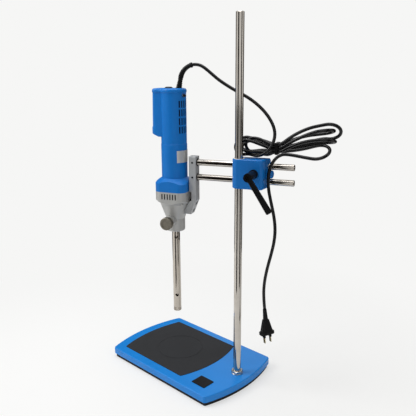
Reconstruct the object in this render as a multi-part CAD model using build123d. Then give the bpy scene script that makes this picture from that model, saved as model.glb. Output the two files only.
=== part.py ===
"""Rotor stator homogenizer on a plate stand. Millimetres, +Z up.

Row frame: origin at the centre of the base's underside, +X along the base towards the pole end.
Arm frame: origin on the pole's axis at the floor, turned by ARM_SWIVEL about it, +X along the arm rods.
Motor frame: the arm frame moved to the motor's axis.
"""

from build123d import *
import os
from math import atan2, cos, degrees, pi, radians, sin, sqrt, tan

os.makedirs("parts", exist_ok=True)

# Base plate
BASE_LENGTH = 312.3
BASE_WIDTH = 200.0
BASE_END_RADIUS = 298.0
BASE_CORNER = 7.0
BASE_HEIGHT = 22.0
COVER_BOTTOM = 8.4
COVER_WALL = 4.0
COVER_TOP_WALL = 5.0
COVER_EDGE = 2.0
TRAY_INSET = 3.5
PAD_THICK = 1.6
BALLAST_GAP = 0.3
TRAY_SCREW_X = 110.0
TRAY_SCREW_Y = 70.0
TRAY_SCREW_R = 2.0
TRAY_SCREW_HEAD_R = 4.2
TRAY_SCREW_HEAD = 2.6
TRAY_SCREW_LENGTH = 13.0
MAT_LEFT = -134.35
MAT_RIGHT = 69.25
MAT_WIDTH = 163.3
MAT_CENTRE_Y = 1.3
MAT_END_RISE = 16.0
MAT_CORNER = 5.0
MAT_THICK = 1.2
MAT_PROUD = 0.5
MAT_RING_R = 50.0
MAT_RING_WIDTH = 1.6
MAT_RING_RISE = 0.4
PLATE_LENGTH = 34.0
PLATE_WIDTH = 29.0
PLATE_THICK = 1.0
PLATE_END_GAP = 55.2
PLATE_SIDE_GAP = 34.9
PLATE_CORNER = 2.0

# Pole
POLE_X = 127.65
POLE_Y = 7.3
POLE_R = 7.5
POLE_TOP = 714.5
POLE_CHAMFER = 1.0
WASHER_R = 11.5
WASHER_THICK = 1.6
NUT_FLATS = 21.0
NUT_HEIGHT = 5.0
POLE_BOLT_R = 4.0
POLE_BOLT_HEAD_R = 6.5
POLE_BOLT_HEAD = 4.5
POLE_BOLT_REACH = 18.0
SLIP = 0.05
LOOSE = 0.3

# Clamp block, in the arm frame
ARM_SWIVEL = 22.77
BLOCK_FRONT = -12.0
BLOCK_BACK = 27.0
BLOCK_LEFT = -11.5
BLOCK_RIGHT_FRONT = 46.5
BLOCK_RIGHT_BACK = 53.5
BLOCK_BOTTOM = 405.8
BLOCK_TOP = 460.2
BLOCK_CORNER = 5.0
BLOCK_BACK_ROUND = 6.0
BLOCK_EDGE = 1.0
SLIT_Y = 4.0
SLIT_WIDTH = 1.6
SLIT_START = 6.0
BUSH_WALL = 1.6
BUSH_FLANGE = 1.5
BUSH_FLANGE_R = 10.2
SET_SCREW_Y = -3.0
SET_SCREW_Z = 424.0
SET_SCREW_R = 2.0
SET_SCREW_LENGTH = 9.0
SET_SCREW_SUNK = 0.8
SET_SCREW_SOCKET_R = 1.1
END_KNOB_R = 7.5
END_KNOB_PROUD = 8.0
END_KNOB_EDGE = 2.0
END_KNOB_STEM_R = 3.0
END_KNOB_STEM = 10.0
FRONT_LEVER_X = 31.5
FRONT_LEVER_Z = 435.0
FRONT_HUB_FOOT_R = 8.5
FRONT_HUB_R = 7.5
FRONT_HUB_END = -42.0
FRONT_GRIP_END = -50.0
FRONT_GRIP_LENGTH = 73.0
FRONT_GRIP_ANGLE = 33.0
GRIP_ROOT_W = 8.0
GRIP_TIP_W = 10.5
BACK_LEVER_X = 0.0
BACK_LEVER_Z = 431.0
BACK_HUB_R = 6.5
BACK_HUB_END = 49.0
BACK_GRIP_END = 56.0
BACK_GRIP_LENGTH = 42.0
BACK_GRIP_ANGLE = 20.0
LEVER_SCREW_R = 4.0
FRONT_SCREW_END = 10.0
BACK_SCREW_END = 20.3
LEVER_CAP_R = 4.6
LEVER_CAP_DEEP = 1.2

# Arm rods and bracket, in the arm frame
ROD_R = 6.0
ROD_Y = 18.0
ROD_UPPER_Z = 445.3
ROD_LOWER_Z = 416.7
ROD_RIGHT = 99.8
ROD_SOCKET = 12.0
ROD_CHAMFER = 0.8
BRACKET_REACH = 48.2
BRACKET_DEPTH = 14.7
BRACKET_TOE_REACH = 37.0
BRACKET_TOE_DEPTH = 17.5
BRACKET_ABOVE_ROD = 11.7
BRACKET_BEND_RISE = 0.1
BRACKET_TOE_RISE = 11.2
BRACKET_WIDTH = 20.0
BRACKET_EDGE = 1.5
BRACKET_BOLT_R = 2.5
BRACKET_BOLT_HEAD_R = 4.2
BRACKET_BOLT_HEAD = 5.0
BRACKET_BOLT_SUNK = 2.0
BRACKET_BOLT_LENGTH = 11.0
HEAD_GAP = 0.2
GRUB_R = 2.0

# Motor, in the motor frame
MOTOR_X = -137.0
NOSE_BOTTOM = 305.6
NOSE_R = 18.7
NOSE_EDGE = 3.0
NOSE_TOP = 331.8
CONE_R = 29.8
CONE_TOP = 362.7
BAND_BOTTOM = 370.9
BAND_TOP = 388.4
BAND_HALF = 32.0
BAND_CORNER = 14.0
BAND_OUTER_R = 40.0
COLLAR_EDGE = 404.0
COLLAR_TOP = 414.3
HANDLE_R = 25.2
SEAM_Z = 480.0
SEAM_GROOVE = 0.5
REAR_R = 24.7
REAR_TOP = 579.0
REAR_EDGE = 4.0
REAR_WALL = 2.8
REAR_ROOF = 3.5
BUMP_OUT = 40.0
BUMP_TOP_OUT = 37.5
BUMP_HALF = 18.0
BUMP_ROOT_Z = 493.5
BUMP_FOOT_Z = 500.0
BUMP_LIP = 1.2
BUMP_LIP_TOP = 511.0
BUMP_CORNER = 8.0
VENT_ROWS = 4
VENT_ROW_PITCH = 16.0
VENT_BOTTOM = 500.5
VENT_TALL = 13.0
VENT_WIDTH = 3.0
VENT_COLUMNS = 7
VENT_STEP = 13.0
SLOT_COUNT = 6
SLOT_PITCH = 5.6
SLOT_WIDTH = 2.6
SLOT_BOTTOM = 374.0
SLOT_TOP = 385.0
FAN_ROOM_R = 28.0
FAN_ROOM_BOTTOM = 366.5
MOTOR_BORE_R = 22.0
HOUSING_SCREW_AT = 23.5
HOUSING_SCREW_R = 1.6
HOUSING_SCREW_HEAD_R = 3.1
HOUSING_SCREW_HEAD = 2.6
HOUSING_SCREW_SEAT = 370.0
HOUSING_SCREW_TOP = 399.0
THUMB_Z = 329.5
THUMB_BOSS_R = 9.5
THUMB_BOSS_END = -29.0
THUMB_R = 3.0
THUMB_NECK_R = 4.5
THUMB_HEAD_R = 12.5
THUMB_HEAD_START = -38.0
THUMB_HEAD_END = -48.0
THUMB_FLUTES = 24
PLATE_LOW = 445.0
PLATE_HIGH = 468.0
RATING_FROM = -55.0
RATING_SWEEP = 80.0
RATING_THICK = 0.4

# Motor works, in the motor frame
SHAFT_R = 4.0
SHAFT_BOTTOM = 345.0
SHAFT_TOP = 510.0
COUPLING_R = 6.8
COUPLING_ROOM_R = 7.3
COUPLING_BOTTOM = 337.0
COUPLING_TOP = 352.0
FRONT_BEARING_R = 11.0
FRONT_BEARING_BOTTOM = 354.0
FRONT_BEARING_WIDE = 8.0
REAR_BEARING_R = 9.0
REAR_BEARING_BOTTOM = 500.0
REAR_BEARING_WIDE = 7.0
FAN_R = 25.5
FAN_BOTTOM = 369.5
FAN_TALL = 13.0
FAN_BLADES = 9
FAN_BLADE_THICK = 1.6
FAN_HUB_R = 8.0
CORE_R = 16.0
CORE_BOTTOM = 412.0
CORE_TOP = 466.0
CORE_SLOTS = 12
CORE_SLOT_WIDTH = 1.6
CORE_SLOT_DEEP = 5.0
WINDING_R = 13.5
WINDING_ROUND = 2.0
WINDING_OVERHANG = 6.0
FIELD_GAP = 0.6
COIL_OVERHANG = 7.0
COMMUTATOR_R = 8.5
COMMUTATOR_BOTTOM = 478.5
COMMUTATOR_TALL = 12.0
BRUSH_RING_R = 17.0
BRUSH_RING_TALL = 12.0
BRUSH_RISE = 1.5
BRUSH_WIDE = 6.0
BRUSH_TALL = 8.0
DIAL_X = -9.0
DIAL_R = 8.5
DIAL_TOP = 586.5
DIAL_STEM_R = 2.5
POT_R = 7.7
POT_TALL = 8.0
BOARD_Y = 8.0
BOARD_THICK = 1.6
BOARD_LEFT = -34.0
BOARD_RIGHT = 16.0
BOARD_BOTTOM = 512.0
CHOKE_LEFT = -27.0
CHOKE_RIGHT = -13.0
CHOKE_DEEP = 7.0
CHOKE_LOW = 521.0
CHOKE_HIGH = 539.0
SINK_LEFT = -2.0
SINK_RIGHT = 10.0
SINK_DEEP = 5.0
SINK_LOW = 522.0
SINK_HIGH = 540.0
BRIDGE_LIP = 1.5
BRIDGE_HOLES = 8
BRIDGE_HOLE_R = 2.6
TOGGLE_ANGLE = -20.0
TOGGLE_Z = 571.0
TOGGLE_BUSH_R = 3.2
TOGGLE_BUSH_OUT = 3.6
TOGGLE_BALL_R = 1.8
TOGGLE_LEVER_R = 1.1
TOGGLE_TIP_R = 1.7
TOGGLE_REACH = 8.0
TOGGLE_BODY_TALL = 10.0
TOGGLE_BODY_DEEP = 12.0

# Dispersing tool, in the motor frame
TUBE_R = 8.0
TUBE_BORE_R = 6.5
TUBE_BOTTOM = 141.4
TUBE_TOP = 335.0
TIP_Z = 131.4
TUBE_HOLE_R = 3.4
UPPER_HOLE_Z = 292.0
LOWER_HOLE_Z = 167.0
TUBE_HOLE_TURN = -69.0
TUBE_SLOT_TURN = -18.0
TUBE_SLOT_WIDTH = 3.0
TUBE_SLOT_BOTTOM = 285.0
TUBE_SLOT_TOP = 302.0
TUBE_GROOVE_Z = 299.5
TUBE_GROOVE_TALL = 3.0
TUBE_GROOVE_DEEP = 0.5
STATOR_BORE_R = 6.3
STATOR_SLOTS = 14
STATOR_SLOT_WIDTH = 1.5
STATOR_SLOT_TALL = 6.5
STATOR_LIP = 0.9
ROTOR_R = 6.1
ROTOR_RING = 1.5
ROTOR_SLOTS = 6
ROTOR_SLOT_WIDTH = 2.2
ROTOR_RISE = 0.8
ROTOR_DISC_BOTTOM = 138.4
ROTOR_DISC_TOP = 140.8
DRIVE_R = 3.0
DRIVE_HEX = 5.0
DRIVE_HEX_GAP = 0.2
DRIVE_HEX_BOTTOM = 337.5
DRIVE_TOP = 344.0
TOOL_BUSH_Z = (186.0, 262.0, 322.0)
TOOL_BUSH_TALL = 10.0

# Mains cord, in the arm frame
CORD_R = 3.0
BOOT_X = -126.0
BOOT_TILT = 12.0
BOOT_FLANGE_R = 7.5
BOOT_FLANGE = 2.5
BOOT_STEM_R = 4.5
BOOT_STEM = 6.0
BOOT_ROOT_R = 6.4
BOOT_TIP_R = 4.2
BOOT_LENGTH = 22.0
BOOT_RIBS = 5
LEAD_STRAIGHT = 12.0
HANK_Y = 20.5
HANK_HALF = 9.0
LEFT_LOBE = (22.5, 477.6, 43.0, 16.0)
RIGHT_LOBE = (121.0, 496.0, 59.0, 26.0)
RIGHT_LOBE_TILT = 17.0
TIE_X = 66.4
TIE_Z = 479.0
TIE_WIDE = 5.0
TIE_WALL = 1.2
HANK_NECK_Y = 9.5
HANK_NECK_Z = 9.5
LEAD_POINTS = [
    (-108.5, 18.2, 626.0),
    (-92.5, 18.4, 628.5),
    (-75.0, 18.5, 618.0),
    (-47.0, 18.8, 599.5),
    (-17.0, 19.2, 582.0),
    (12.0, 19.6, 568.0),
    (36.0, 20.0, 550.0),
    (54.0, 20.2, 529.0),
    (64.5, 20.2, 508.0),
    (65.6, 20.5, 484.0),
]
DROP_POINTS = [
    (68.5, 14.0, 475.0),
    (63.0, 6.0, 460.0),
    (57.0, 2.0, 446.0),
    (54.4, 1.0, 428.0),
    (56.2, 1.0, 407.0),
    (61.5, 1.0, 383.0),
    (68.0, 0.0, 358.0),
    (71.6, -1.0, 333.0),
    (70.2, -1.0, 308.0),
    (64.5, -1.0, 281.0),
    (57.8, -0.5, 254.0),
    (52.8, 0.0, 226.0),
    (51.6, 0.0, 198.0),
    (54.6, 0.0, 170.3),
]
PLUG_TURN = 43.0
PLUG_RELIEF = 24.0
PLUG_RELIEF_TIP_R = 3.6
PLUG_RELIEF_R = 5.0
PLUG_BODY = 22.0
PLUG_BODY_TOP = (13.0, 11.0)
PLUG_BODY_WIDE = (24.0, 15.0)
PLUG_FLANGE = 5.0
PLUG_FLANGE_WIDE = (29.0, 17.0)
PLUG_SPACING = 12.7
BLADE_WIDE = 6.3
BLADE_THICK = 1.5
BLADE_LENGTH = 18.0
SLEEVE_WIDE = 8.0
SLEEVE_THICK = 3.4
SLEEVE_LENGTH = 7.0

# Places
COVER_CEILING = BASE_HEIGHT - COVER_TOP_WALL
NUT_BOTTOM = BASE_HEIGHT + WASHER_THICK
PLATE_X = BASE_LENGTH / 2 - PLATE_END_GAP
PLATE_Y = PLATE_SIDE_GAP - BASE_WIDTH / 2
BLOCK_BORE_R = POLE_R + BUSH_WALL + 2 * SLIP
BRACKET_OUTER = MOTOR_X + BRACKET_REACH
BRACKET_INNER = BRACKET_OUTER - BRACKET_DEPTH
BRACKET_TOE_OUTER = MOTOR_X + BRACKET_TOE_REACH
BRACKET_TOE_INNER = BRACKET_TOE_OUTER - BRACKET_TOE_DEPTH
BRACKET_TOP = ROD_UPPER_Z + BRACKET_ABOVE_ROD
BRACKET_BEND = BAND_BOTTOM + BRACKET_BEND_RISE
BRACKET_BOTTOM = NOSE_TOP + BRACKET_TOE_RISE
ARM = Pos(POLE_X, POLE_Y, 0) * Rot(0, 0, ARM_SWIVEL)
MOTOR = ARM * Pos(MOTOR_X, ROD_Y, 0)


def save(name, shape, place=None):
    """Writes one sub-part to parts/NAME.step."""
    if place is not None:
        shape = place * shape
    shape.label = name
    export_step(shape, f"parts/{name}.step")


def rod(radius, low, high, x=0.0, y=0.0):
    """Upright cylinder between two heights."""
    return Pos(x, y, (low + high) / 2) * Cylinder(radius, high - low)


def pipe(outer, inner, low, high, x=0.0, y=0.0):
    """Upright tube between two heights."""
    return rod(outer, low, high, x, y) - rod(inner, low, high, x, y)


def rod_x(radius, low, high, y, z):
    """Cylinder along X."""
    return Pos((low + high) / 2, y, z) * Rot(0, 90, 0) * Cylinder(radius, high - low)


def rod_y(radius, low, high, x, z):
    """Cylinder along Y."""
    return Pos(x, (low + high) / 2, z) * Rot(90, 0, 0) * Cylinder(radius, high - low)


def block(x0, x1, y0, y1, z0, z1):
    """Box between two corners."""
    return Pos((x0 + x1) / 2, (y0 + y1) / 2, (z0 + z1) / 2) * Box(x1 - x0, y1 - y0, z1 - z0)


def turned(points):
    """Solid of revolution about Z from (radius, height) points."""
    return revolve(make_face(Plane.XZ * Polyline(*points, close=True)), Axis.Z)


def around(count, shape, start=0.0):
    """Copies of a shape, evenly spaced about Z."""
    return [Rot(0, 0, start + 360.0 * i / count) * shape for i in range(count)]


def plate_outline(half_length, half_width, end_radius, corner):
    """Plate outline with straight long sides and bulging arc ends."""
    rise = end_radius - sqrt(end_radius**2 - half_width**2)
    side = half_length - rise
    edges = [
        Line((-side, -half_width), (side, -half_width)),
        ThreePointArc((side, -half_width), (half_length, 0), (side, half_width)),
        Line((side, half_width), (-side, half_width)),
        ThreePointArc((-side, half_width), (-half_length, 0), (-side, -half_width)),
    ]
    face = make_face(edges)
    return fillet(face.vertices(), corner)


def base_outline(inset):
    """Base outline moved inwards."""
    return plate_outline(
        BASE_LENGTH / 2 - inset,
        BASE_WIDTH / 2 - inset,
        BASE_END_RADIUS - inset,
        max(BASE_CORNER - inset, 1.5),
    )


def mat_outline(gap):
    """Mat outline, moved outwards by a gap."""
    half = MAT_WIDTH / 2 + gap
    left, right = MAT_LEFT - gap, MAT_RIGHT + gap
    left_side, right_side = left + MAT_END_RISE * 0.8, right - MAT_END_RISE
    edges = [
        Line((left_side, -half), (right_side, -half)),
        ThreePointArc((right_side, -half), (right, 0), (right_side, half)),
        Line((right_side, half), (left_side, half)),
        ThreePointArc((left_side, half), (left, 0), (left_side, -half)),
    ]
    face = fillet(make_face(edges).vertices(), MAT_CORNER)
    return Pos(0, MAT_CENTRE_Y, 0) * face


# Base

def make_base_cover():
    cover = extrude(Pos(0, 0, COVER_BOTTOM) * base_outline(0), BASE_HEIGHT - COVER_BOTTOM)
    cover = fillet(cover.faces().sort_by(Axis.Z)[-1].edges(), COVER_EDGE)
    hollow = extrude(Pos(0, 0, COVER_BOTTOM) * base_outline(COVER_WALL), COVER_CEILING - COVER_BOTTOM)
    recess = extrude(Pos(0, 0, BASE_HEIGHT + MAT_PROUD - MAT_THICK) * mat_outline(LOOSE), MAT_THICK)
    pole_hole = rod(POLE_R + SLIP, COVER_CEILING - 1, BASE_HEIGHT + 1, POLE_X, POLE_Y)
    return cover - hollow - recess - pole_hole


def tray_screw_places():
    return [(sx * TRAY_SCREW_X, sy * TRAY_SCREW_Y) for sx in (-1, 1) for sy in (-1, 1)]


def make_ballast_plate():
    inset = COVER_WALL + BALLAST_GAP
    plate = extrude(Pos(0, 0, COVER_BOTTOM) * base_outline(inset), COVER_CEILING - COVER_BOTTOM)
    plate -= rod(POLE_BOLT_R + SLIP, 0, BASE_HEIGHT, POLE_X, POLE_Y)
    plate -= rod(POLE_BOLT_HEAD_R + LOOSE, 0, COVER_BOTTOM + POLE_BOLT_HEAD, POLE_X, POLE_Y)
    for x, y in tray_screw_places():
        plate -= rod(TRAY_SCREW_R, 0, PAD_THICK + TRAY_SCREW_LENGTH, x, y)
    return plate


def make_base_tray():
    tray = extrude(Pos(0, 0, PAD_THICK) * base_outline(TRAY_INSET), COVER_BOTTOM - PAD_THICK)
    for x, y in tray_screw_places():
        tray -= rod(TRAY_SCREW_R + SLIP, 0, BASE_HEIGHT, x, y)
        tray -= rod(TRAY_SCREW_HEAD_R + LOOSE, 0, PAD_THICK + TRAY_SCREW_HEAD, x, y)
    return tray


def make_anti_slip_pad():
    return extrude(base_outline(TRAY_INSET), PAD_THICK)


def make_tray_screws():
    screws = []
    for x, y in tray_screw_places():
        head = rod(TRAY_SCREW_HEAD_R, PAD_THICK, PAD_THICK + TRAY_SCREW_HEAD, x, y)
        screws.append(head + rod(TRAY_SCREW_R, PAD_THICK, PAD_THICK + TRAY_SCREW_LENGTH, x, y))
    return Compound(screws)


def make_work_mat():
    bottom = BASE_HEIGHT + MAT_PROUD - MAT_THICK
    mat = extrude(Pos(0, 0, bottom) * mat_outline(0), MAT_THICK)
    ring_x = (MAT_LEFT + MAT_RIGHT) / 2
    top = BASE_HEIGHT + MAT_PROUD
    ring = pipe(MAT_RING_R, MAT_RING_R - MAT_RING_WIDTH, top - 0.1, top + MAT_RING_RISE, ring_x, MAT_CENTRE_Y)
    return mat + ring


def make_front_plate():
    sketch = RectangleRounded(PLATE_LENGTH, PLATE_WIDTH, PLATE_CORNER)
    return extrude(Pos(PLATE_X, PLATE_Y, BASE_HEIGHT) * sketch, PLATE_THICK)


# Pole

def make_support_rod():
    pole = rod(POLE_R, COVER_CEILING, POLE_TOP, POLE_X, POLE_Y)
    pole = chamfer(pole.faces().sort_by(Axis.Z)[-1].edges(), POLE_CHAMFER)
    return pole - rod(POLE_BOLT_R, COVER_CEILING - 1, COVER_CEILING + POLE_BOLT_REACH, POLE_X, POLE_Y)


def make_rod_washer():
    washer = pipe(WASHER_R, POLE_R + SLIP, BASE_HEIGHT, NUT_BOTTOM, POLE_X, POLE_Y)
    return chamfer(washer.faces().sort_by(Axis.Z)[-1].outer_wire().edges(), 0.4)


def make_rod_nut():
    corner_r = NUT_FLATS / 2 / cos(pi / 6)
    nut = extrude(Pos(POLE_X, POLE_Y, NUT_BOTTOM) * RegularPolygon(corner_r, 6), NUT_HEIGHT)
    ease = Pos(POLE_X, POLE_Y, 0) * turned([
        (0, NUT_BOTTOM - 1), (corner_r + 1, NUT_BOTTOM - 1), (corner_r + 1, NUT_BOTTOM + NUT_HEIGHT - 1.6),
        (NUT_FLATS / 2 - 0.6, NUT_BOTTOM + NUT_HEIGHT), (0, NUT_BOTTOM + NUT_HEIGHT)])
    return (nut & ease) - rod(POLE_R + SLIP, 0, BASE_HEIGHT * 2, POLE_X, POLE_Y)


def make_rod_bolt():
    head = rod(POLE_BOLT_HEAD_R, COVER_BOTTOM, COVER_BOTTOM + POLE_BOLT_HEAD, POLE_X, POLE_Y)
    shank = rod(POLE_BOLT_R, COVER_BOTTOM, COVER_CEILING + POLE_BOLT_REACH - 1, POLE_X, POLE_Y)
    return head + shank


# Clamp block, levers and rods, in the arm frame

def make_pole_bush():
    outer = POLE_R + SLIP + BUSH_WALL
    bush = rod(outer, BLOCK_BOTTOM, BLOCK_TOP)
    bush += rod(BUSH_FLANGE_R, BLOCK_BOTTOM, BLOCK_BOTTOM + BUSH_FLANGE)
    bush += rod(BUSH_FLANGE_R, BLOCK_TOP - BUSH_FLANGE, BLOCK_TOP)
    return bush - rod(POLE_R + SLIP, BLOCK_BOTTOM - 1, BLOCK_TOP + 1)


def block_face_x(y):
    """X of the block's slanted right face at y."""
    share = (y - BLOCK_FRONT) / (BLOCK_BACK - BLOCK_FRONT)
    return BLOCK_RIGHT_FRONT + share * (BLOCK_RIGHT_BACK - BLOCK_RIGHT_FRONT)


def end_knob_frame():
    """Frame of the end knob: origin on the block's right face between the rods, +Z outwards."""
    outwards = (BLOCK_BACK - BLOCK_FRONT, BLOCK_RIGHT_FRONT - BLOCK_RIGHT_BACK, 0)
    spot = (block_face_x(ROD_Y), ROD_Y, (ROD_UPPER_Z + ROD_LOWER_Z) / 2)
    return Location(Plane(origin=spot, z_dir=outwards))


def make_clamp_block():
    middle = (BLOCK_LEFT * cos(pi / 4), BLOCK_FRONT * sin(pi / 4))
    outline = make_face([
        ThreePointArc((BLOCK_LEFT, 0), middle, (0, BLOCK_FRONT)),
        Line((0, BLOCK_FRONT), (BLOCK_RIGHT_FRONT, BLOCK_FRONT)),
        Line((BLOCK_RIGHT_FRONT, BLOCK_FRONT), (BLOCK_RIGHT_BACK, BLOCK_BACK)),
        Line((BLOCK_RIGHT_BACK, BLOCK_BACK), (BLOCK_LEFT, BLOCK_BACK)),
        Line((BLOCK_LEFT, BLOCK_BACK), (BLOCK_LEFT, 0)),
    ])
    front_right = outline.vertices().sort_by(lambda v: v.X - v.Y)[-1]
    outline = fillet(front_right, BLOCK_CORNER)
    body = extrude(Pos(0, 0, BLOCK_BOTTOM) * outline, BLOCK_TOP - BLOCK_BOTTOM)
    back = body.faces().sort_by(Axis.Y)[-1]
    body = fillet(back.edges().filter_by(Axis.X), BLOCK_BACK_ROUND)
    rims = body.faces().filter_by(Axis.Z)
    straight = BLOCK_BACK - BLOCK_BACK_ROUND - BLOCK_EDGE
    body = chamfer([e for e in rims.edges() if e.center().Y < straight], BLOCK_EDGE)
    body -= rod(BLOCK_BORE_R, BLOCK_BOTTOM - 1, BLOCK_TOP + 1)
    for low, high in ((BLOCK_BOTTOM - 1, BLOCK_BOTTOM + BUSH_FLANGE + SLIP),
                      (BLOCK_TOP - BUSH_FLANGE - SLIP, BLOCK_TOP + 1)):
        body -= rod(BUSH_FLANGE_R + SLIP, low, high)
    right = BLOCK_RIGHT_BACK + 1
    half = SLIT_WIDTH / 2
    body -= block(SLIT_START, right, SLIT_Y - half, SLIT_Y + half, BLOCK_BOTTOM - 1, BLOCK_TOP + 1)
    for z in (ROD_UPPER_Z, ROD_LOWER_Z):
        body -= rod_x(ROD_R + SLIP, BLOCK_LEFT - 1, right, ROD_Y, z)
    inner = block_face_x(SET_SCREW_Y) - SET_SCREW_LENGTH
    body -= rod_x(SET_SCREW_R, inner, right, SET_SCREW_Y, SET_SCREW_Z)
    body -= end_knob_frame() * rod(END_KNOB_STEM_R, -END_KNOB_STEM, 1)
    hole_r = LEVER_SCREW_R + SLIP
    body -= rod_y(hole_r, BLOCK_FRONT - 1, FRONT_SCREW_END + LOOSE, FRONT_LEVER_X, FRONT_LEVER_Z)
    body -= rod_y(hole_r, BACK_SCREW_END - LOOSE, BLOCK_BACK + 1, BACK_LEVER_X, BACK_LEVER_Z)
    return body


def make_block_set_screw():
    face = block_face_x(SET_SCREW_Y)
    outer = face - SET_SCREW_SUNK
    screw = rod_x(SET_SCREW_R, face - SET_SCREW_LENGTH, outer, SET_SCREW_Y, SET_SCREW_Z)
    hexagon = extrude(RegularPolygon(SET_SCREW_SOCKET_R, 6), SET_SCREW_R, both=True)
    return screw - Pos(outer, SET_SCREW_Y, SET_SCREW_Z) * Rot(0, 90, 0) * hexagon


def make_block_end_knob():
    head = rod(END_KNOB_R, 0, END_KNOB_PROUD)
    head = fillet(head.faces().sort_by(Axis.Z)[-1].edges(), END_KNOB_EDGE)
    return end_knob_frame() * (head + rod(END_KNOB_STEM_R, -END_KNOB_STEM, 1))


def lever_handle(x, z, seat, hub_end, grip_end, foot_r, hub_r, length, angle, lean, cap_y):
    """Moulded clamp lever: tapered hub along Y and a grip that hangs from its end."""
    out = 1 if hub_end > seat else -1
    foot = rod_y(foot_r, min(seat, seat + out * 5), max(seat, seat + out * 5), x, z)
    hub = rod_y(hub_r, min(seat, hub_end), max(seat, hub_end), x, z)
    grip_low, grip_high = sorted((hub_end, grip_end))
    root = rod_y(hub_r + 0.5, grip_low, grip_high, x, z)
    half_root, half_tip = GRIP_ROOT_W / 2, GRIP_TIP_W / 2
    bar = make_face(Polyline(
        (-half_root, 0), (half_root, 0), (half_tip, -length), (-half_tip, -length), close=True))
    bar = fillet([v for v in bar.vertices() if v.Y < -1], 2.5)
    grip = extrude(Plane.XZ * bar, (grip_high - grip_low) / 2, both=True)
    grip = chamfer(grip.faces().sort_by(Axis.Y)[0].edges() + grip.faces().sort_by(Axis.Y)[-1].edges(), 1.2)
    grip = Pos(x, (grip_low + grip_high) / 2, z) * Rot(0, lean * angle, 0) * grip
    lever = foot + hub + root + grip
    low, high = sorted((seat - out, cap_y))
    lever -= rod_y(LEVER_SCREW_R, low, high, x, z)
    low, high = sorted((cap_y, grip_end + out))
    return lever - rod_y(LEVER_CAP_R, low, high, x, z)


def lever_screw(x, z, inner, cap_y, grip_end):
    """Cap screw of a clamp lever: shank from the block, socket head in the end of the hub."""
    out = 1 if grip_end > cap_y else -1
    face = grip_end - out * LEVER_CAP_DEEP
    low, high = sorted((cap_y, face))
    cap = rod_y(LEVER_CAP_R, low, high, x, z)
    low, high = sorted((inner, cap_y))
    shank = rod_y(LEVER_SCREW_R, low, high, x, z)
    socket = Pos(x, face, z) * Rot(90, 0, 0) * extrude(RegularPolygon(2.2, 6), 2.0, both=True)
    return cap + shank - socket


def make_front_lever():
    seat = BLOCK_FRONT - 0.1
    cap_y = FRONT_GRIP_END + 6.0
    handle = lever_handle(
        FRONT_LEVER_X, FRONT_LEVER_Z, seat, FRONT_HUB_END, FRONT_GRIP_END,
        FRONT_HUB_FOOT_R, FRONT_HUB_R, FRONT_GRIP_LENGTH, FRONT_GRIP_ANGLE, -1, cap_y)
    return handle, lever_screw(FRONT_LEVER_X, FRONT_LEVER_Z, FRONT_SCREW_END, cap_y, FRONT_GRIP_END)


def make_back_lever():
    seat = BLOCK_BACK + 0.1
    cap_y = BACK_GRIP_END - 4.0
    handle = lever_handle(
        BACK_LEVER_X, BACK_LEVER_Z, seat, BACK_HUB_END, BACK_GRIP_END,
        BACK_HUB_R + 1, BACK_HUB_R, BACK_GRIP_LENGTH, BACK_GRIP_ANGLE, -1, cap_y)
    return handle, lever_screw(BACK_LEVER_X, BACK_LEVER_Z, BACK_SCREW_END, cap_y, BACK_GRIP_END)


def make_arm_rod(z):
    bar = rod_x(ROD_R, BRACKET_OUTER - ROD_SOCKET, ROD_RIGHT, ROD_Y, z)
    ends = bar.faces().sort_by(Axis.X)
    return chamfer(ends[0].edges() + ends[-1].edges(), ROD_CHAMFER)


def nose_envelope():
    """Outer form of the nose and cone, in the motor frame."""
    edge = NOSE_EDGE * 0.3
    return turned([
        (0, NOSE_BOTTOM), (NOSE_R - NOSE_EDGE, NOSE_BOTTOM), (NOSE_R - edge, NOSE_BOTTOM + edge),
        (NOSE_R, NOSE_BOTTOM + NOSE_EDGE), (NOSE_R, NOSE_TOP), (CONE_R, CONE_TOP),
        (BAND_OUTER_R, BAND_BOTTOM + 0.6), (BAND_OUTER_R, BAND_TOP), (0, BAND_TOP)])


def bracket_bolt_places():
    """Frames of the two bolts on the slanted face: origin on the face, +Z outwards."""
    run_x, run_z = BRACKET_TOE_OUTER - BRACKET_OUTER, BRACKET_BOTTOM - BRACKET_BEND
    normal = Vector(-run_z, 0, run_x).normalized()
    return [
        Plane(origin=(BRACKET_OUTER + t * run_x, ROD_Y, BRACKET_BEND + t * run_z), z_dir=normal)
        for t in (0.24, 0.76)
    ]


def make_bracket():
    profile = Plane.XZ * Polyline(
        (BRACKET_INNER, BRACKET_TOP), (BRACKET_OUTER, BRACKET_TOP), (BRACKET_OUTER, BRACKET_BEND),
        (BRACKET_TOE_OUTER, BRACKET_BOTTOM), (BRACKET_TOE_INNER, BRACKET_BOTTOM),
        (BRACKET_INNER, BRACKET_BEND - 2), close=True)
    bar = Pos(0, ROD_Y, 0) * extrude(make_face(profile), BRACKET_WIDTH / 2, both=True)
    sides = bar.faces().sort_by(Axis.Y)
    bar = fillet(sides[0].edges() + sides[-1].edges(), BRACKET_EDGE)
    bar -= Pos(MOTOR_X, ROD_Y, 0) * nose_envelope()
    for z in (ROD_UPPER_Z, ROD_LOWER_Z):
        bar -= rod_x(ROD_R, BRACKET_OUTER - ROD_SOCKET, BRACKET_OUTER + 1, ROD_Y, z)
        bar -= rod_y(GRUB_R, ROD_Y - BRACKET_WIDTH, ROD_Y, (BRACKET_OUTER + BRACKET_INNER) / 2, z)
    sunk = BRACKET_BOLT_SUNK + BRACKET_BOLT_HEAD
    for plane in bracket_bolt_places():
        bar -= Location(plane) * rod(BRACKET_BOLT_HEAD_R + HEAD_GAP, -sunk, BRACKET_WIDTH)
        bar -= Location(plane) * rod(BRACKET_BOLT_R, -2 * BRACKET_WIDTH, 0)
    return bar


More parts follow.
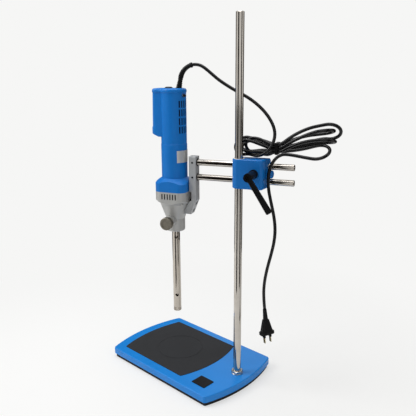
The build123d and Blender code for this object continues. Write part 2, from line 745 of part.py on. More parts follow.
def make_bracket_bolts():
    bolts = []
    for plane in bracket_bolt_places():
        head_mid = -BRACKET_BOLT_SUNK - BRACKET_BOLT_HEAD / 2
        head = plane * Pos(0, 0, head_mid) * Cylinder(BRACKET_BOLT_HEAD_R, BRACKET_BOLT_HEAD)
        shank_mid = -BRACKET_BOLT_SUNK - BRACKET_BOLT_HEAD - BRACKET_BOLT_LENGTH / 2
        shank = plane * Pos(0, 0, shank_mid) * Cylinder(BRACKET_BOLT_R, BRACKET_BOLT_LENGTH)
        socket = plane * Pos(0, 0, -BRACKET_BOLT_SUNK) * extrude(RegularPolygon(2.3, 6), 2.5, both=True)
        bolts.append(head + shank - socket)
    return Compound(bolts)


def make_rod_grubs():
    x = (BRACKET_OUTER + BRACKET_INNER) / 2
    outer = ROD_Y - BRACKET_WIDTH / 2 + 0.4
    return Compound([rod_y(GRUB_R, outer, ROD_Y - ROD_R - 0.02, x, z) for z in (ROD_UPPER_Z, ROD_LOWER_Z)])


# Motor housings, in the motor frame

def band_prism(low, high):
    sketch = RectangleRounded(2 * BAND_HALF, 2 * BAND_HALF, BAND_CORNER)
    return extrude(Pos(0, 0, low) * sketch, high - low)


def screw_places():
    return [(sx * HOUSING_SCREW_AT, sy * HOUSING_SCREW_AT) for sx in (-1, 1) for sy in (-1, 1)]


def make_nose_housing():
    body = nose_envelope() & band_prism(NOSE_BOTTOM - 1, BAND_TOP)
    body += rod_y(THUMB_BOSS_R, THUMB_BOSS_END, -NOSE_R / 2, 0, THUMB_Z)
    body -= rod(TUBE_R + SLIP, NOSE_BOTTOM - 1, TUBE_TOP)
    body -= rod(COUPLING_ROOM_R, TUBE_TOP - 1, FRONT_BEARING_BOTTOM + 1)
    body -= rod(FRONT_BEARING_R, FRONT_BEARING_BOTTOM, FRONT_BEARING_BOTTOM + FRONT_BEARING_WIDE)
    body -= rod(FRONT_BEARING_R - 2, FRONT_BEARING_BOTTOM, FAN_ROOM_BOTTOM + 1)
    body -= rod(FAN_ROOM_R, FAN_ROOM_BOTTOM, BAND_TOP + 1)
    body -= rod_y(THUMB_R + SLIP, THUMB_BOSS_END - 1, 0, 0, THUMB_Z)
    slot = block(-SLOT_WIDTH / 2, SLOT_WIDTH / 2, -BAND_HALF - 1, -FAN_ROOM_R / 2, SLOT_BOTTOM, SLOT_TOP)
    for side in range(4):
        for i in range(SLOT_COUNT):
            x = (i - (SLOT_COUNT - 1) / 2) * SLOT_PITCH
            body -= Rot(0, 0, 90 * side) * Pos(x, 0, 0) * slot
    for x, y in screw_places():
        body -= rod(HOUSING_SCREW_HEAD_R + HEAD_GAP, NOSE_TOP, HOUSING_SCREW_SEAT, x, y)
        body -= rod(HOUSING_SCREW_R, NOSE_TOP, BAND_TOP + 1, x, y)
    for plane in bracket_bolt_places():
        deep = BRACKET_BOLT_SUNK + BRACKET_BOLT_HEAD + BRACKET_BOLT_LENGTH + 0.5
        drill = Location(plane) * Pos(0, 0, -deep / 2) * Cylinder(BRACKET_BOLT_R, deep)
        body -= Pos(-MOTOR_X, -ROD_Y, 0) * drill
    return body


def make_housing_screws():
    screws = []
    for x, y in screw_places():
        head = rod(HOUSING_SCREW_HEAD_R, HOUSING_SCREW_SEAT - HOUSING_SCREW_HEAD, HOUSING_SCREW_SEAT, x, y)
        screws.append(head + rod(HOUSING_SCREW_R, HOUSING_SCREW_SEAT - 1, HOUSING_SCREW_TOP, x, y))
    return Compound(screws)


def make_motor_housing():
    outer = turned([
        (0, BAND_TOP), (BAND_OUTER_R, BAND_TOP), (BAND_OUTER_R, COLLAR_EDGE), (HANDLE_R, COLLAR_TOP),
        (HANDLE_R, SEAM_Z - SEAM_GROOVE), (HANDLE_R - SEAM_GROOVE, SEAM_Z), (0, SEAM_Z)])
    body = outer & band_prism(BAND_TOP, SEAM_Z)
    body -= rod(MOTOR_BORE_R, BAND_TOP - 1, SEAM_Z + 1)
    for x, y in screw_places():
        body -= rod(HOUSING_SCREW_R, BAND_TOP - 1, HOUSING_SCREW_TOP, x, y)
    return body


def bump_solid(grow, low, high):
    """Switch housing bump on the -X side; grow is negative for its hollow."""
    lip_top = BUMP_LIP_TOP
    out = BUMP_OUT + grow
    profile = Plane.XZ * Polyline(
        (0, low), (-REAR_R, low), (-out, low + BUMP_FOOT_Z - BUMP_ROOT_Z),
        (-out, lip_top), (-out + BUMP_LIP, lip_top + 2), (-BUMP_TOP_OUT - grow, high), (0, high), close=True)
    bump = extrude(make_face(profile), BUMP_HALF + grow, both=True)
    return bump


def make_rear_housing():
    shell = rod(REAR_R, SEAM_Z, REAR_TOP)
    bump = bump_solid(0, BUMP_ROOT_Z, REAR_TOP)
    outer = [e for e in bump.edges() if e.center().X < -BUMP_TOP_OUT + 2]
    bump = fillet([e for e in outer if abs(e.center().Y) > BUMP_HALF - 1], BUMP_CORNER)
    body = shell + bump
    body = fillet(body.faces().sort_by(Axis.Z)[-1].edges(), REAR_EDGE)
    body -= rod(REAR_R - REAR_WALL, SEAM_Z - 1, REAR_TOP - REAR_ROOF)
    hollow = bump_solid(-REAR_WALL, BUMP_ROOT_Z + REAR_WALL, REAR_TOP - REAR_ROOF)
    body -= hollow & block(-BUMP_OUT, 0, -BUMP_HALF + REAR_WALL, BUMP_HALF - REAR_WALL,
                           BUMP_ROOT_Z, REAR_TOP - REAR_ROOF)
    vent = block(REAR_R - REAR_WALL * 2, REAR_R + 2, -VENT_WIDTH / 2, VENT_WIDTH / 2, 0, VENT_TALL)
    for row in range(VENT_ROWS):
        for column in range(VENT_COLUMNS):
            turn = (column - (VENT_COLUMNS - 1) / 2) * VENT_STEP
            body -= Rot(0, 0, turn) * Pos(0, 0, VENT_BOTTOM + row * VENT_ROW_PITCH) * vent
    body -= rod(DIAL_STEM_R + SLIP, REAR_TOP - REAR_ROOF - 1, REAR_TOP + 1, DIAL_X)
    body -= rod(BOOT_STEM_R, REAR_TOP - REAR_ROOF - 1, REAR_TOP + 1, BOOT_X - MOTOR_X)
    body -= TOGGLE_FRAME * rod(TOGGLE_BUSH_R, -REAR_WALL * 2, REAR_WALL)
    return body


# +Z of this frame leaves the rear housing along the toggle's bush, from the housing's wall.
TOGGLE_FRAME = Rot(0, 0, TOGGLE_ANGLE) * Pos(REAR_R, 0, TOGGLE_Z) * Rot(0, 90, 0)


def make_toggle_bush():
    bush = rod(TOGGLE_BUSH_R, -REAR_WALL - 3, TOGGLE_BUSH_OUT)
    mouth = TOGGLE_BUSH_OUT + 1
    cup = turned([(0, -1), (TOGGLE_BALL_R + 0.4, -1), (TOGGLE_BALL_R + 0.9, mouth), (0, mouth)])
    body = block(-1, TOGGLE_BODY_TALL - 1, -4.5, 4.5, -REAR_WALL - TOGGLE_BODY_DEEP, -REAR_WALL - 2.5)
    return TOGGLE_FRAME * (bush - cup + body)


def make_toggle_lever():
    stem = rod(TOGGLE_LEVER_R, 0.6, TOGGLE_REACH)
    tip = fillet(rod(TOGGLE_TIP_R, TOGGLE_REACH - 3.5, TOGGLE_REACH).edges(), 0.7)
    lever = Pos(0, 0, 0.8) * Sphere(TOGGLE_BALL_R) + stem + tip
    return TOGGLE_FRAME * lever


def make_rating_plate():
    ring = pipe(HANDLE_R + RATING_THICK, HANDLE_R, PLATE_LOW, PLATE_HIGH)
    reach = 2 * HANDLE_R
    far = (reach * cos(radians(RATING_SWEEP)), reach * sin(radians(RATING_SWEEP)))
    sector = make_face([
        Line((0, 0), (reach, 0)), CenterArc((0, 0), reach, 0, RATING_SWEEP), Line(far, (0, 0))])
    wedge = extrude(Pos(0, 0, PLATE_LOW) * sector, PLATE_HIGH - PLATE_LOW)
    return ring & (Rot(0, 0, RATING_FROM) * wedge)


def make_thumb_screw():
    head = rod_y(THUMB_HEAD_R, THUMB_HEAD_END, THUMB_HEAD_START, 0, THUMB_Z)
    head = chamfer(head.edges().filter_by(GeomType.CIRCLE), 0.8)
    flute = rod_y(1.0, THUMB_HEAD_END - 1, THUMB_HEAD_START + 1, THUMB_HEAD_R + 0.35, 0)
    for i in range(THUMB_FLUTES):
        head -= Pos(0, 0, THUMB_Z) * Rot(0, 360.0 * i / THUMB_FLUTES, 0) * flute
    neck = rod_y(THUMB_NECK_R, THUMB_HEAD_START - 1, THUMB_BOSS_END - LOOSE, 0, THUMB_Z)
    shank = rod_y(THUMB_R, THUMB_BOSS_END - 2, -TUBE_R - LOOSE, 0, THUMB_Z)
    dish = rod_y(THUMB_HEAD_R - 4, THUMB_HEAD_END - 1, THUMB_HEAD_END + 0.8, 0, THUMB_Z)
    return head + neck + shank - dish


# Motor works, in the motor frame

def make_armature_shaft():
    return rod(SHAFT_R, SHAFT_BOTTOM, SHAFT_TOP)


def make_armature_core():
    core = pipe(CORE_R, SHAFT_R, CORE_BOTTOM, CORE_TOP)
    slot = block(CORE_R - CORE_SLOT_DEEP, CORE_R + 1, -CORE_SLOT_WIDTH / 2, CORE_SLOT_WIDTH / 2,
                 CORE_BOTTOM - 1, CORE_TOP + 1)
    for cut in around(CORE_SLOTS, slot):
        core -= cut
    return core


def make_armature_winding():
    ends = ((CORE_BOTTOM - WINDING_OVERHANG, CORE_BOTTOM), (CORE_TOP, CORE_TOP + WINDING_OVERHANG))
    rings = []
    for low, high in ends:
        ring = fillet(rod(WINDING_R, low, high).edges().filter_by(GeomType.CIRCLE), WINDING_ROUND)
        rings.append(ring - rod(SHAFT_R, low - 1, high + 1))
    return Compound(rings)


def make_commutator():
    return pipe(COMMUTATOR_R, SHAFT_R, COMMUTATOR_BOTTOM, COMMUTATOR_BOTTOM + COMMUTATOR_TALL)


def make_cooling_fan():
    fan = pipe(FAN_HUB_R, SHAFT_R, FAN_BOTTOM, FAN_BOTTOM + FAN_TALL)
    fan += pipe(FAN_R, SHAFT_R, FAN_BOTTOM, FAN_BOTTOM + 1.6)
    blade = block(FAN_HUB_R - 1, FAN_R - 0.5, -FAN_BLADE_THICK / 2, FAN_BLADE_THICK / 2,
                  FAN_BOTTOM, FAN_BOTTOM + FAN_TALL)
    for piece in around(FAN_BLADES, blade):
        fan += piece
    return fan


def make_drive_coupling():
    body = rod(COUPLING_R, COUPLING_BOTTOM, COUPLING_TOP)
    body = chamfer(body.edges().filter_by(GeomType.CIRCLE), 0.6)
    body -= rod(SHAFT_R, SHAFT_BOTTOM, COUPLING_TOP + 1)
    socket_r = (DRIVE_HEX + DRIVE_HEX_GAP) / 2 / cos(pi / 6)
    socket = Pos(0, 0, COUPLING_BOTTOM - 1) * RegularPolygon(socket_r, 6)
    return body - extrude(socket, DRIVE_TOP + LOOSE - COUPLING_BOTTOM + 1)


def make_bearing(outer, low, wide):
    ring = pipe(outer, SHAFT_R + SLIP, low, low + wide)
    groove = pipe(outer * 0.78, outer * 0.58, low - 1, low + 0.6)
    return ring - groove - Pos(0, 0, wide + 0.4) * groove


def make_shaft_bearings():
    return Compound([
        make_bearing(FRONT_BEARING_R, FRONT_BEARING_BOTTOM, FRONT_BEARING_WIDE),
        make_bearing(REAR_BEARING_R, REAR_BEARING_BOTTOM, REAR_BEARING_WIDE),
    ])


def make_field_stack():
    return pipe(MOTOR_BORE_R, CORE_R + FIELD_GAP, CORE_BOTTOM, CORE_TOP)


def make_field_coils():
    coils = []
    for low, high in ((CORE_BOTTOM - COIL_OVERHANG, CORE_BOTTOM), (CORE_TOP, CORE_TOP + COIL_OVERHANG)):
        ring = pipe(MOTOR_BORE_R - 0.5, CORE_R + 1.5, low, high)
        coils.append(fillet(ring.edges().filter_by(GeomType.CIRCLE), 1.2))
    return Compound(coils)


def make_brush_carrier():
    return pipe(REAR_R - REAR_WALL, BRUSH_RING_R, SEAM_Z, SEAM_Z + BRUSH_RING_TALL)


def make_brushes():
    low = SEAM_Z + BRUSH_RISE
    wide = BRUSH_WIDE / 2
    outer = sqrt(BRUSH_RING_R**2 - wide**2)
    brush = block(-wide, wide, COMMUTATOR_R + SLIP, outer, low, low + BRUSH_TALL)
    return Compound([brush, Rot(0, 0, 180) * brush])


def make_bearing_bridge():
    low, high = REAR_BEARING_BOTTOM - BRIDGE_LIP, REAR_BEARING_BOTTOM + REAR_BEARING_WIDE
    disc = pipe(REAR_R - REAR_WALL, SHAFT_R + BRIDGE_LIP, low, high)
    disc -= rod(REAR_BEARING_R, REAR_BEARING_BOTTOM, high + 1)
    hole = rod(BRIDGE_HOLE_R, low - 1, high + 1, (REAR_BEARING_R + REAR_R - REAR_WALL) / 2)
    for cut in around(BRIDGE_HOLES, hole, 180.0 / BRIDGE_HOLES):
        disc -= cut
    return disc


def make_speed_control():
    roof = REAR_TOP - REAR_ROOF
    return pipe(POT_R, DIAL_STEM_R + SLIP, roof - POT_TALL, roof, DIAL_X)


def make_speed_board():
    roof = REAR_TOP - REAR_ROOF
    board = block(BOARD_LEFT, BOARD_RIGHT, BOARD_Y, BOARD_Y + BOARD_THICK, BOARD_BOTTOM, roof - LOOSE)
    board += block(CHOKE_LEFT, CHOKE_RIGHT, BOARD_Y - CHOKE_DEEP, BOARD_Y, CHOKE_LOW, CHOKE_HIGH)
    return board + block(SINK_LEFT, SINK_RIGHT, BOARD_Y - SINK_DEEP, BOARD_Y, SINK_LOW, SINK_HIGH)


def make_speed_dial():
    dome_low = REAR_TOP + 0.2
    dome = fillet(rod(DIAL_R, dome_low, DIAL_TOP, DIAL_X).faces().sort_by(Axis.Z)[-1].edges(), 4.5)
    return dome + rod(DIAL_STEM_R, REAR_TOP - REAR_ROOF - POT_TALL + 1, dome_low + 0.5, DIAL_X)


# Dispersing tool, in the motor frame

def make_tool_tube():
    tube = pipe(TUBE_R, TUBE_BORE_R, TUBE_BOTTOM, TUBE_TOP)
    for z in (UPPER_HOLE_Z, LOWER_HOLE_Z):
        tube -= Pos(0, 0, z) * Rot(0, 0, TUBE_HOLE_TURN) * Rot(0, 90, 0) * Cylinder(TUBE_HOLE_R, 4 * TUBE_R)
    slot = block(0, 2 * TUBE_R, -TUBE_SLOT_WIDTH / 2, TUBE_SLOT_WIDTH / 2, TUBE_SLOT_BOTTOM, TUBE_SLOT_TOP)
    tube -= Rot(0, 0, TUBE_SLOT_TURN) * slot
    groove_high = TUBE_GROOVE_Z + TUBE_GROOVE_TALL
    tube -= pipe(TUBE_R + 1, TUBE_R - TUBE_GROOVE_DEEP, TUBE_GROOVE_Z, groove_high)
    return tube


def make_stator_head():
    head = pipe(TUBE_R, STATOR_BORE_R, TIP_Z, TUBE_BOTTOM)
    slot = block(0, 2 * TUBE_R, -STATOR_SLOT_WIDTH / 2, STATOR_SLOT_WIDTH / 2,
                 TIP_Z + STATOR_LIP, TIP_Z + STATOR_LIP + STATOR_SLOT_TALL)
    for cut in around(STATOR_SLOTS, slot):
        head -= cut
    return head


def make_shaft_bushes():
    return Compound([pipe(TUBE_BORE_R, DRIVE_R + SLIP, z, z + TOOL_BUSH_TALL) for z in TOOL_BUSH_Z])


def make_drive_shaft():
    shaft = rod(DRIVE_R, ROTOR_DISC_TOP, DRIVE_HEX_BOTTOM - 2)
    hexagon = Pos(0, 0, DRIVE_HEX_BOTTOM - 3) * RegularPolygon(DRIVE_HEX / 2 / cos(pi / 6), 6)
    return shaft + extrude(hexagon, DRIVE_TOP - DRIVE_HEX_BOTTOM + 3)


def make_rotor_head():
    head = rod(ROTOR_R, TIP_Z + ROTOR_RISE, ROTOR_DISC_TOP)
    head -= rod(ROTOR_R - ROTOR_RING, 0, ROTOR_DISC_BOTTOM)
    slot = block(0, 2 * ROTOR_R, -ROTOR_SLOT_WIDTH / 2, ROTOR_SLOT_WIDTH / 2, 0, ROTOR_DISC_BOTTOM)
    for cut in around(ROTOR_SLOTS, slot):
        head -= cut
    hub = rod(2.2, TIP_Z + 2 * ROTOR_RISE, ROTOR_DISC_BOTTOM + 0.5)
    return head + hub


# Cord, in the arm frame

def cord_tube(points):
    """Round cord along straight runs with tangent arcs, as wide at each corner as its runs allow."""
    spots = [Vector(*p) for p in points]
    radii = []
    for before, here, after in zip(spots, spots[1:], spots[2:]):
        turn = radians((here - before).get_angle(after - here))
        shorter = min((here - before).length, (after - here).length)
        radii.append(0.45 * shorter / tan(turn / 2))
    path = FilletPolyline(*spots, radius=radii)
    tube = sweep(Plane(origin=path @ 0, z_dir=path % 0) * Circle(CORD_R), path=path)
    share = tube.volume / (pi * CORD_R**2 * path.length)
    print("cord run", round(path.length, 1), "volume share", round(share, 4),
          "radii", [round(r) for r in radii])
    return tube


BOOT_FRAME = Pos(BOOT_X, ROD_Y, REAR_TOP) * Rot(0, BOOT_TILT, 0)
BOOT_END = (BOOT_FRAME * Pos(0, 0, BOOT_LENGTH + BOOT_FLANGE)).position
LEAD_RISE = (BOOT_FRAME * Pos(0, 0, BOOT_LENGTH + BOOT_FLANGE + LEAD_STRAIGHT)).position


def make_cord_boot():
    stem = rod(BOOT_STEM_R, REAR_TOP - BOOT_STEM, REAR_TOP + 1, BOOT_X, ROD_Y)
    flange = rod(BOOT_FLANGE_R, REAR_TOP, REAR_TOP + BOOT_FLANGE, BOOT_X, ROD_Y)
    top = BOOT_LENGTH + BOOT_FLANGE
    root = BOOT_FLANGE * 0.7
    points = [(0, root), (BOOT_ROOT_R, root)]
    for i in range(BOOT_RIBS):
        low = BOOT_FLANGE + 3 + i * (BOOT_LENGTH - 6) / BOOT_RIBS
        wide = BOOT_ROOT_R + (BOOT_TIP_R - BOOT_ROOT_R) * (low / top)
        points += [(wide, low), (wide - 0.9, low + 0.6), (wide - 0.9, low + 1.8), (wide, low + 2.4)]
    points += [(BOOT_TIP_R, top), (0, top)]
    return stem + flange + BOOT_FRAME * turned(points)


def make_cord_lead():
    return cord_tube([tuple(BOOT_END), tuple(LEAD_RISE)] + LEAD_POINTS)


def make_cord_hank():
    def lobe(x, z, half_x, half_z, tilt):
        sketch = Plane.XZ * Rot(0, 0, tilt) * Ellipse(half_x, half_z)
        pad = extrude(sketch, HANK_HALF, both=True)
        return Pos(x, HANK_Y, z) * pad

    left = lobe(*LEFT_LOBE, 0)
    right = lobe(*RIGHT_LOBE, RIGHT_LOBE_TILT)
    wide, tall = 2 * HANK_HALF, RIGHT_LOBE[2]
    gap = block(TIE_X - TIE_WIDE / 2, TIE_X + TIE_WIDE / 2, HANK_Y - wide, HANK_Y + wide,
                TIE_Z - tall, TIE_Z + tall)
    neck = block(TIE_X - TIE_WIDE, TIE_X + TIE_WIDE, HANK_Y - HANK_NECK_Y, HANK_Y + HANK_NECK_Y,
                 TIE_Z - HANK_NECK_Z, TIE_Z + HANK_NECK_Z)
    return (left + right - gap) + neck


def make_cord_tie():
    outer = block(TIE_X - TIE_WIDE / 2, TIE_X + TIE_WIDE / 2,
                  HANK_Y - HANK_NECK_Y - TIE_WALL, HANK_Y + HANK_NECK_Y + TIE_WALL,
                  TIE_Z - HANK_NECK_Z - TIE_WALL, TIE_Z + HANK_NECK_Z + TIE_WALL)
    outer = fillet(outer.edges().filter_by(Axis.X), 1.0)
    return outer - block(TIE_X - TIE_WIDE, TIE_X + TIE_WIDE, HANK_Y - HANK_NECK_Y, HANK_Y + HANK_NECK_Y,
                         TIE_Z - HANK_NECK_Z, TIE_Z + HANK_NECK_Z)


def make_cord_drop():
    return cord_tube(DROP_POINTS)


# +Z of this frame runs down the plug from the end of the cord.
PLUG_DIRECTION = Vector(*DROP_POINTS[-1]) - Vector(*DROP_POINTS[-2])
PLUG_FRAME = Location(Plane(origin=DROP_POINTS[-1], z_dir=PLUG_DIRECTION, x_dir=(
    cos(radians(PLUG_TURN)), sin(radians(PLUG_TURN)), 0)))


def make_plug_body():
    relief = turned([(0, 0), (PLUG_RELIEF_TIP_R, 0), (PLUG_RELIEF_R, PLUG_RELIEF), (0, PLUG_RELIEF)])
    low, high = PLUG_RELIEF, PLUG_RELIEF + PLUG_BODY
    sections = [
        Pos(0, 0, low - 2) * RectangleRounded(*PLUG_BODY_TOP, 4.5),
        Pos(0, 0, high) * RectangleRounded(*PLUG_BODY_WIDE, 5.0),
    ]
    body = loft(sections)
    flange = extrude(Pos(0, 0, high) * RectangleRounded(*PLUG_FLANGE_WIDE, 6.0), PLUG_FLANGE)
    flange = fillet(flange.faces().sort_by(Axis.Z)[0].edges(), 1.2)
    plug = relief + body + flange
    face = high + PLUG_FLANGE
    for sleeve in plug_pair(SLEEVE_WIDE, SLEEVE_THICK, face - 1, face + SLEEVE_LENGTH):
        plug += sleeve
    for blade in plug_pair(BLADE_WIDE, BLADE_THICK, face, face + BLADE_LENGTH):
        plug -= blade
    return PLUG_FRAME * plug


def plug_pair(wide, thick, low, high):
    pin = Pos(0, 0, (low + high) / 2) * Box(thick, wide, high - low)
    return [Pos(side * PLUG_SPACING / 2, 0, 0) * pin for side in (-1, 1)]


def make_plug_blades():
    face = PLUG_RELIEF + PLUG_BODY + PLUG_FLANGE
    return PLUG_FRAME * Compound(plug_pair(BLADE_WIDE, BLADE_THICK, face, face + BLADE_LENGTH))


save("base_cover", make_base_cover())
save("ballast_plate", make_ballast_plate())
save("base_tray", make_base_tray())
save("anti_slip_pad", make_anti_slip_pad())
save("tray_screws", make_tray_screws())
save("work_mat", make_work_mat())
save("front_plate", make_front_plate())
save("support_rod", make_support_rod())
save("rod_washer", make_rod_washer())
save("rod_nut", make_rod_nut())
save("rod_bolt", make_rod_bolt())

save("pole_bush", make_pole_bush(), ARM)
save("clamp_block", make_clamp_block(), ARM)
save("block_set_screw", make_block_set_screw(), ARM)
save("block_end_knob", make_block_end_knob(), ARM)
for side, pieces in (("front", make_front_lever()), ("back", make_back_lever())):
    for label, piece in zip(("handle", "screw"), pieces):
        save(f"{side}_lever_{label}", piece, ARM)
save("upper_rod", make_arm_rod(ROD_UPPER_Z), ARM)
save("lower_rod", make_arm_rod(ROD_LOWER_Z), ARM)
save("bracket", make_bracket(), ARM)
save("bracket_bolts", make_bracket_bolts(), ARM)
save("rod_grub_screws", make_rod_grubs(), ARM)

save("nose_housing", make_nose_housing(), MOTOR)
save("housing_screws", make_housing_screws(), MOTOR)
save("motor_housing", make_motor_housing(), MOTOR)
save("rear_housing", make_rear_housing(), MOTOR)
save("rating_plate", make_rating_plate(), MOTOR)
save("toggle_bush", make_toggle_bush(), MOTOR)
save("toggle_lever", make_toggle_lever(), MOTOR)
save("thumb_screw", make_thumb_screw(), MOTOR)
save("speed_dial", make_speed_dial(), MOTOR)
save("speed_control", make_speed_control(), MOTOR)
save("speed_board", make_speed_board(), MOTOR)
save("shaft_bearings", make_shaft_bearings(), MOTOR)
save("bearing_bridge", make_bearing_bridge(), MOTOR)
save("field_stack", make_field_stack(), MOTOR)
save("field_coils", make_field_coils(), MOTOR)
save("brush_carrier", make_brush_carrier(), MOTOR)
save("brushes", make_brushes(), MOTOR)
save("armature_shaft", make_armature_shaft(), MOTOR)
save("armature_core", make_armature_core(), MOTOR)
save("armature_winding", make_armature_winding(), MOTOR)
save("commutator", make_commutator(), MOTOR)
save("cooling_fan", make_cooling_fan(), MOTOR)
save("drive_coupling", make_drive_coupling(), MOTOR)

save("tool_tube", make_tool_tube(), MOTOR)
save("stator_head", make_stator_head(), MOTOR)
save("shaft_bushes", make_shaft_bushes(), MOTOR)
save("drive_shaft", make_drive_shaft(), MOTOR)
save("rotor_head", make_rotor_head(), MOTOR)

save("cord_boot", make_cord_boot(), ARM)
save("cord_lead", make_cord_lead(), ARM)
save("cord_hank", make_cord_hank(), ARM)
save("cord_tie", make_cord_tie(), ARM)
save("cord_drop", make_cord_drop(), ARM)
save("plug_body", make_plug_body(), ARM)
save("plug_blades", make_plug_blades(), ARM)
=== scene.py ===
# %% [markdown]
# # Rotor stator homogenizer on a plate stand
#
# A hand-sized mains motor hangs from two steel bars on a plate stand and drives a slim dispersing tool.
# The motor and its stand are the rigid frame below, whose solids already have the true shapes.
# Here they get their real finishes, and the soft mains cord is laid along its route.

# %% Load the frame
import bmesh
import bpy
from math import cos, pi, radians, sin, sqrt
from mathutils import Matrix, Vector


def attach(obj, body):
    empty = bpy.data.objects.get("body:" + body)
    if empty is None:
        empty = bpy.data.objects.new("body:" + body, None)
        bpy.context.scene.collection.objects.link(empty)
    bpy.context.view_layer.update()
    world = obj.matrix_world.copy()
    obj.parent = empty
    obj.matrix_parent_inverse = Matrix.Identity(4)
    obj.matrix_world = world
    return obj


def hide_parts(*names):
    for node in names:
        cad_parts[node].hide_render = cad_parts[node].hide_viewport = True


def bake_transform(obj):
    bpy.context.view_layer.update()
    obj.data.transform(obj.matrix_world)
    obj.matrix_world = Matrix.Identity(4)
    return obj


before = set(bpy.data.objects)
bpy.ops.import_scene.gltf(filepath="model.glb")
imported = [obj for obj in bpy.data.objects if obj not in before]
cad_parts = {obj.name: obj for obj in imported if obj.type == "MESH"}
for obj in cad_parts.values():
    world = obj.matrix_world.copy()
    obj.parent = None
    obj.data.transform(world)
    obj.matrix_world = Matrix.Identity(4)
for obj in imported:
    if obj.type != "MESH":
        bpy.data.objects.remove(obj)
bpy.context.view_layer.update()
print("frame nodes", len(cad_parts))

# %% Named places of the frame
# The arm frame has its origin on the pole's axis at the table and +X out along the two bars.
POLE = Vector((0.12765, 0.0073, 0.0))
SWIVEL = radians(22.77)
ARM = Matrix.Translation(POLE) @ Matrix.Rotation(SWIVEL, 4, "Z")
MM = 0.001
print("pole at", tuple(POLE), "bars turned by", round(SWIVEL, 3), "radians")


def arm(x, y, z):
    """A point of the arm frame, in millimetres, as a point of the row frame in metres."""
    return ARM @ (Vector((x, y, z)) * MM)


# %% [markdown]
# ## Camera, floor and light
# The stand is seen from slightly above its right front corner through a long lens.
# The floor is a plain pale sheet that keeps a soft shadow. Three large soft boxes light the scene.
# Four dark cards stand round it unseen, and only reflections show them: they draw the dark streaks that
# make the bars and the tool read as polished.

# %% Camera
CAMERA_PLACE = (0.7643, -0.7436, 0.6224)
CAMERA_HEADING, CAMERA_DIP = 43.61, 14.57  # degrees from the row frame's +Y, and down from level
CAMERA_ROLL = -0.0055  # radians
camera_data = bpy.data.cameras.new("camera")
camera_data.lens = 47.0
camera_data.sensor_width = 36.0
camera = bpy.data.objects.new("camera", camera_data)
bpy.context.scene.collection.objects.link(camera)
heading = Matrix.Rotation(radians(CAMERA_HEADING), 4, "Z") @ Matrix.Rotation(radians(90 - CAMERA_DIP), 4, "X")
roll = Matrix.Rotation(CAMERA_ROLL, 4, "Z")
camera.matrix_world = Matrix.Translation(CAMERA_PLACE) @ heading @ roll
bpy.context.scene.camera = camera
bpy.context.scene.view_settings.view_transform = "Standard"
print("camera at", tuple(round(v, 3) for v in camera.location))


# %% [markdown]
# ## Helpers for node materials
# Blender builds a material from nodes. Adding each by hand in code takes many lines, so one small function
# adds a node, sets it and links it. Noise in metres of the row frame gives every finish its real grain size.

# %% Small helpers for node materials
def srgb(code):
    """A colour written as RRGGBB, as the linear values that a shader takes."""
    values = [int(code[i:i + 2], 16) / 255 for i in (0, 2, 4)]
    linear = [v / 12.92 if v <= 0.04045 else ((v + 0.055) / 1.055) ** 2.4 for v in values]
    return (*linear, 1.0)


def add(tree, kind, settings=None, **inputs):
    """Adds a node, gives it its settings, and sets or links its inputs (underscores stand for spaces)."""
    node = tree.nodes.new(kind)
    for key, value in (settings or {}).items():
        setattr(node, key, value)
    for key, value in inputs.items():
        place = int(key[1:]) if key[0] == "i" and key[1:].isdigit() else key.replace("_", " ")
        socket = node.inputs[place]
        if isinstance(value, bpy.types.NodeSocket):
            tree.links.new(value, socket)
        else:
            socket.default_value = value
    return node


def new_material(name, shown=None):
    """A material with its Principled shader; returns the material, its tree and the shader."""
    made = bpy.data.materials.new(name)
    made.use_nodes = True
    tree = made.node_tree
    shader = tree.nodes["Principled BSDF"]
    if shown:
        made.diffuse_color = srgb(shown)
    return made, tree, shader


def object_place(tree, scale=(1.0, 1.0, 1.0), turn=(0.0, 0.0, 0.0)):
    """Object coordinates through a mapping, so a pattern keeps its size in metres."""
    place = add(tree, "ShaderNodeTexCoord").outputs["Object"]
    return add(tree, "ShaderNodeMapping", Vector=place, Scale=scale, Rotation=turn).outputs["Vector"]


def blend_colours(tree, factor, first, second):
    """The first colour where the factor is 0 and the second where it is 1; either may be a socket."""
    mix = add(tree, "ShaderNodeMix", {"data_type": "RGBA"}, Factor=factor)
    for socket, value in ((mix.inputs[6], first), (mix.inputs[7], second)):
        if isinstance(value, bpy.types.NodeSocket):
            tree.links.new(value, socket)
        else:
            socket.default_value = value
    return mix.outputs[2]


def between(tree, value, low, high):
    """A 0 to 1 value as a value from low to high."""
    return add(tree, "ShaderNodeMapRange", Value=value, To_Min=low, To_Max=high).outputs["Result"]


def noise(tree, place, size_mm, detail=3.0, rough=0.5):
    """Noise whose lumps are about size_mm across."""
    node = add(tree, "ShaderNodeTexNoise", Vector=place, Scale=1000.0 / size_mm, Detail=detail,
               Roughness=rough)
    return node.outputs["Fac"]


def bump(tree, shader, height, depth_mm, strength):
    """Relief on a shader, depth_mm deep where the height runs from 0 to 1."""
    node = add(tree, "ShaderNodeBump", Height=height, Distance=depth_mm * MM, Strength=strength)
    tree.links.new(node.outputs["Normal"], shader.inputs["Normal"])


print("helpers for colours, noise and relief ready")


# %% [markdown]
# ## Floor and light
# A studio would use a paper roll and soft boxes. A curved sweep could stand behind the stand, but a
# flat floor that fades to the backdrop's own white is simpler and shows no fold from any side.

# %% Floor, backdrop light and lamps
BACKDROP = "F6F6F5"
# How much of the floor is plain backdrop white to the camera close to the stand. It is all white further
# out, so the sheet has no visible edge, and near the stand the rest still takes the shadow.
FLOOR_WHITE_NEAR = 0.6
EVEN_LIGHT = 0.38


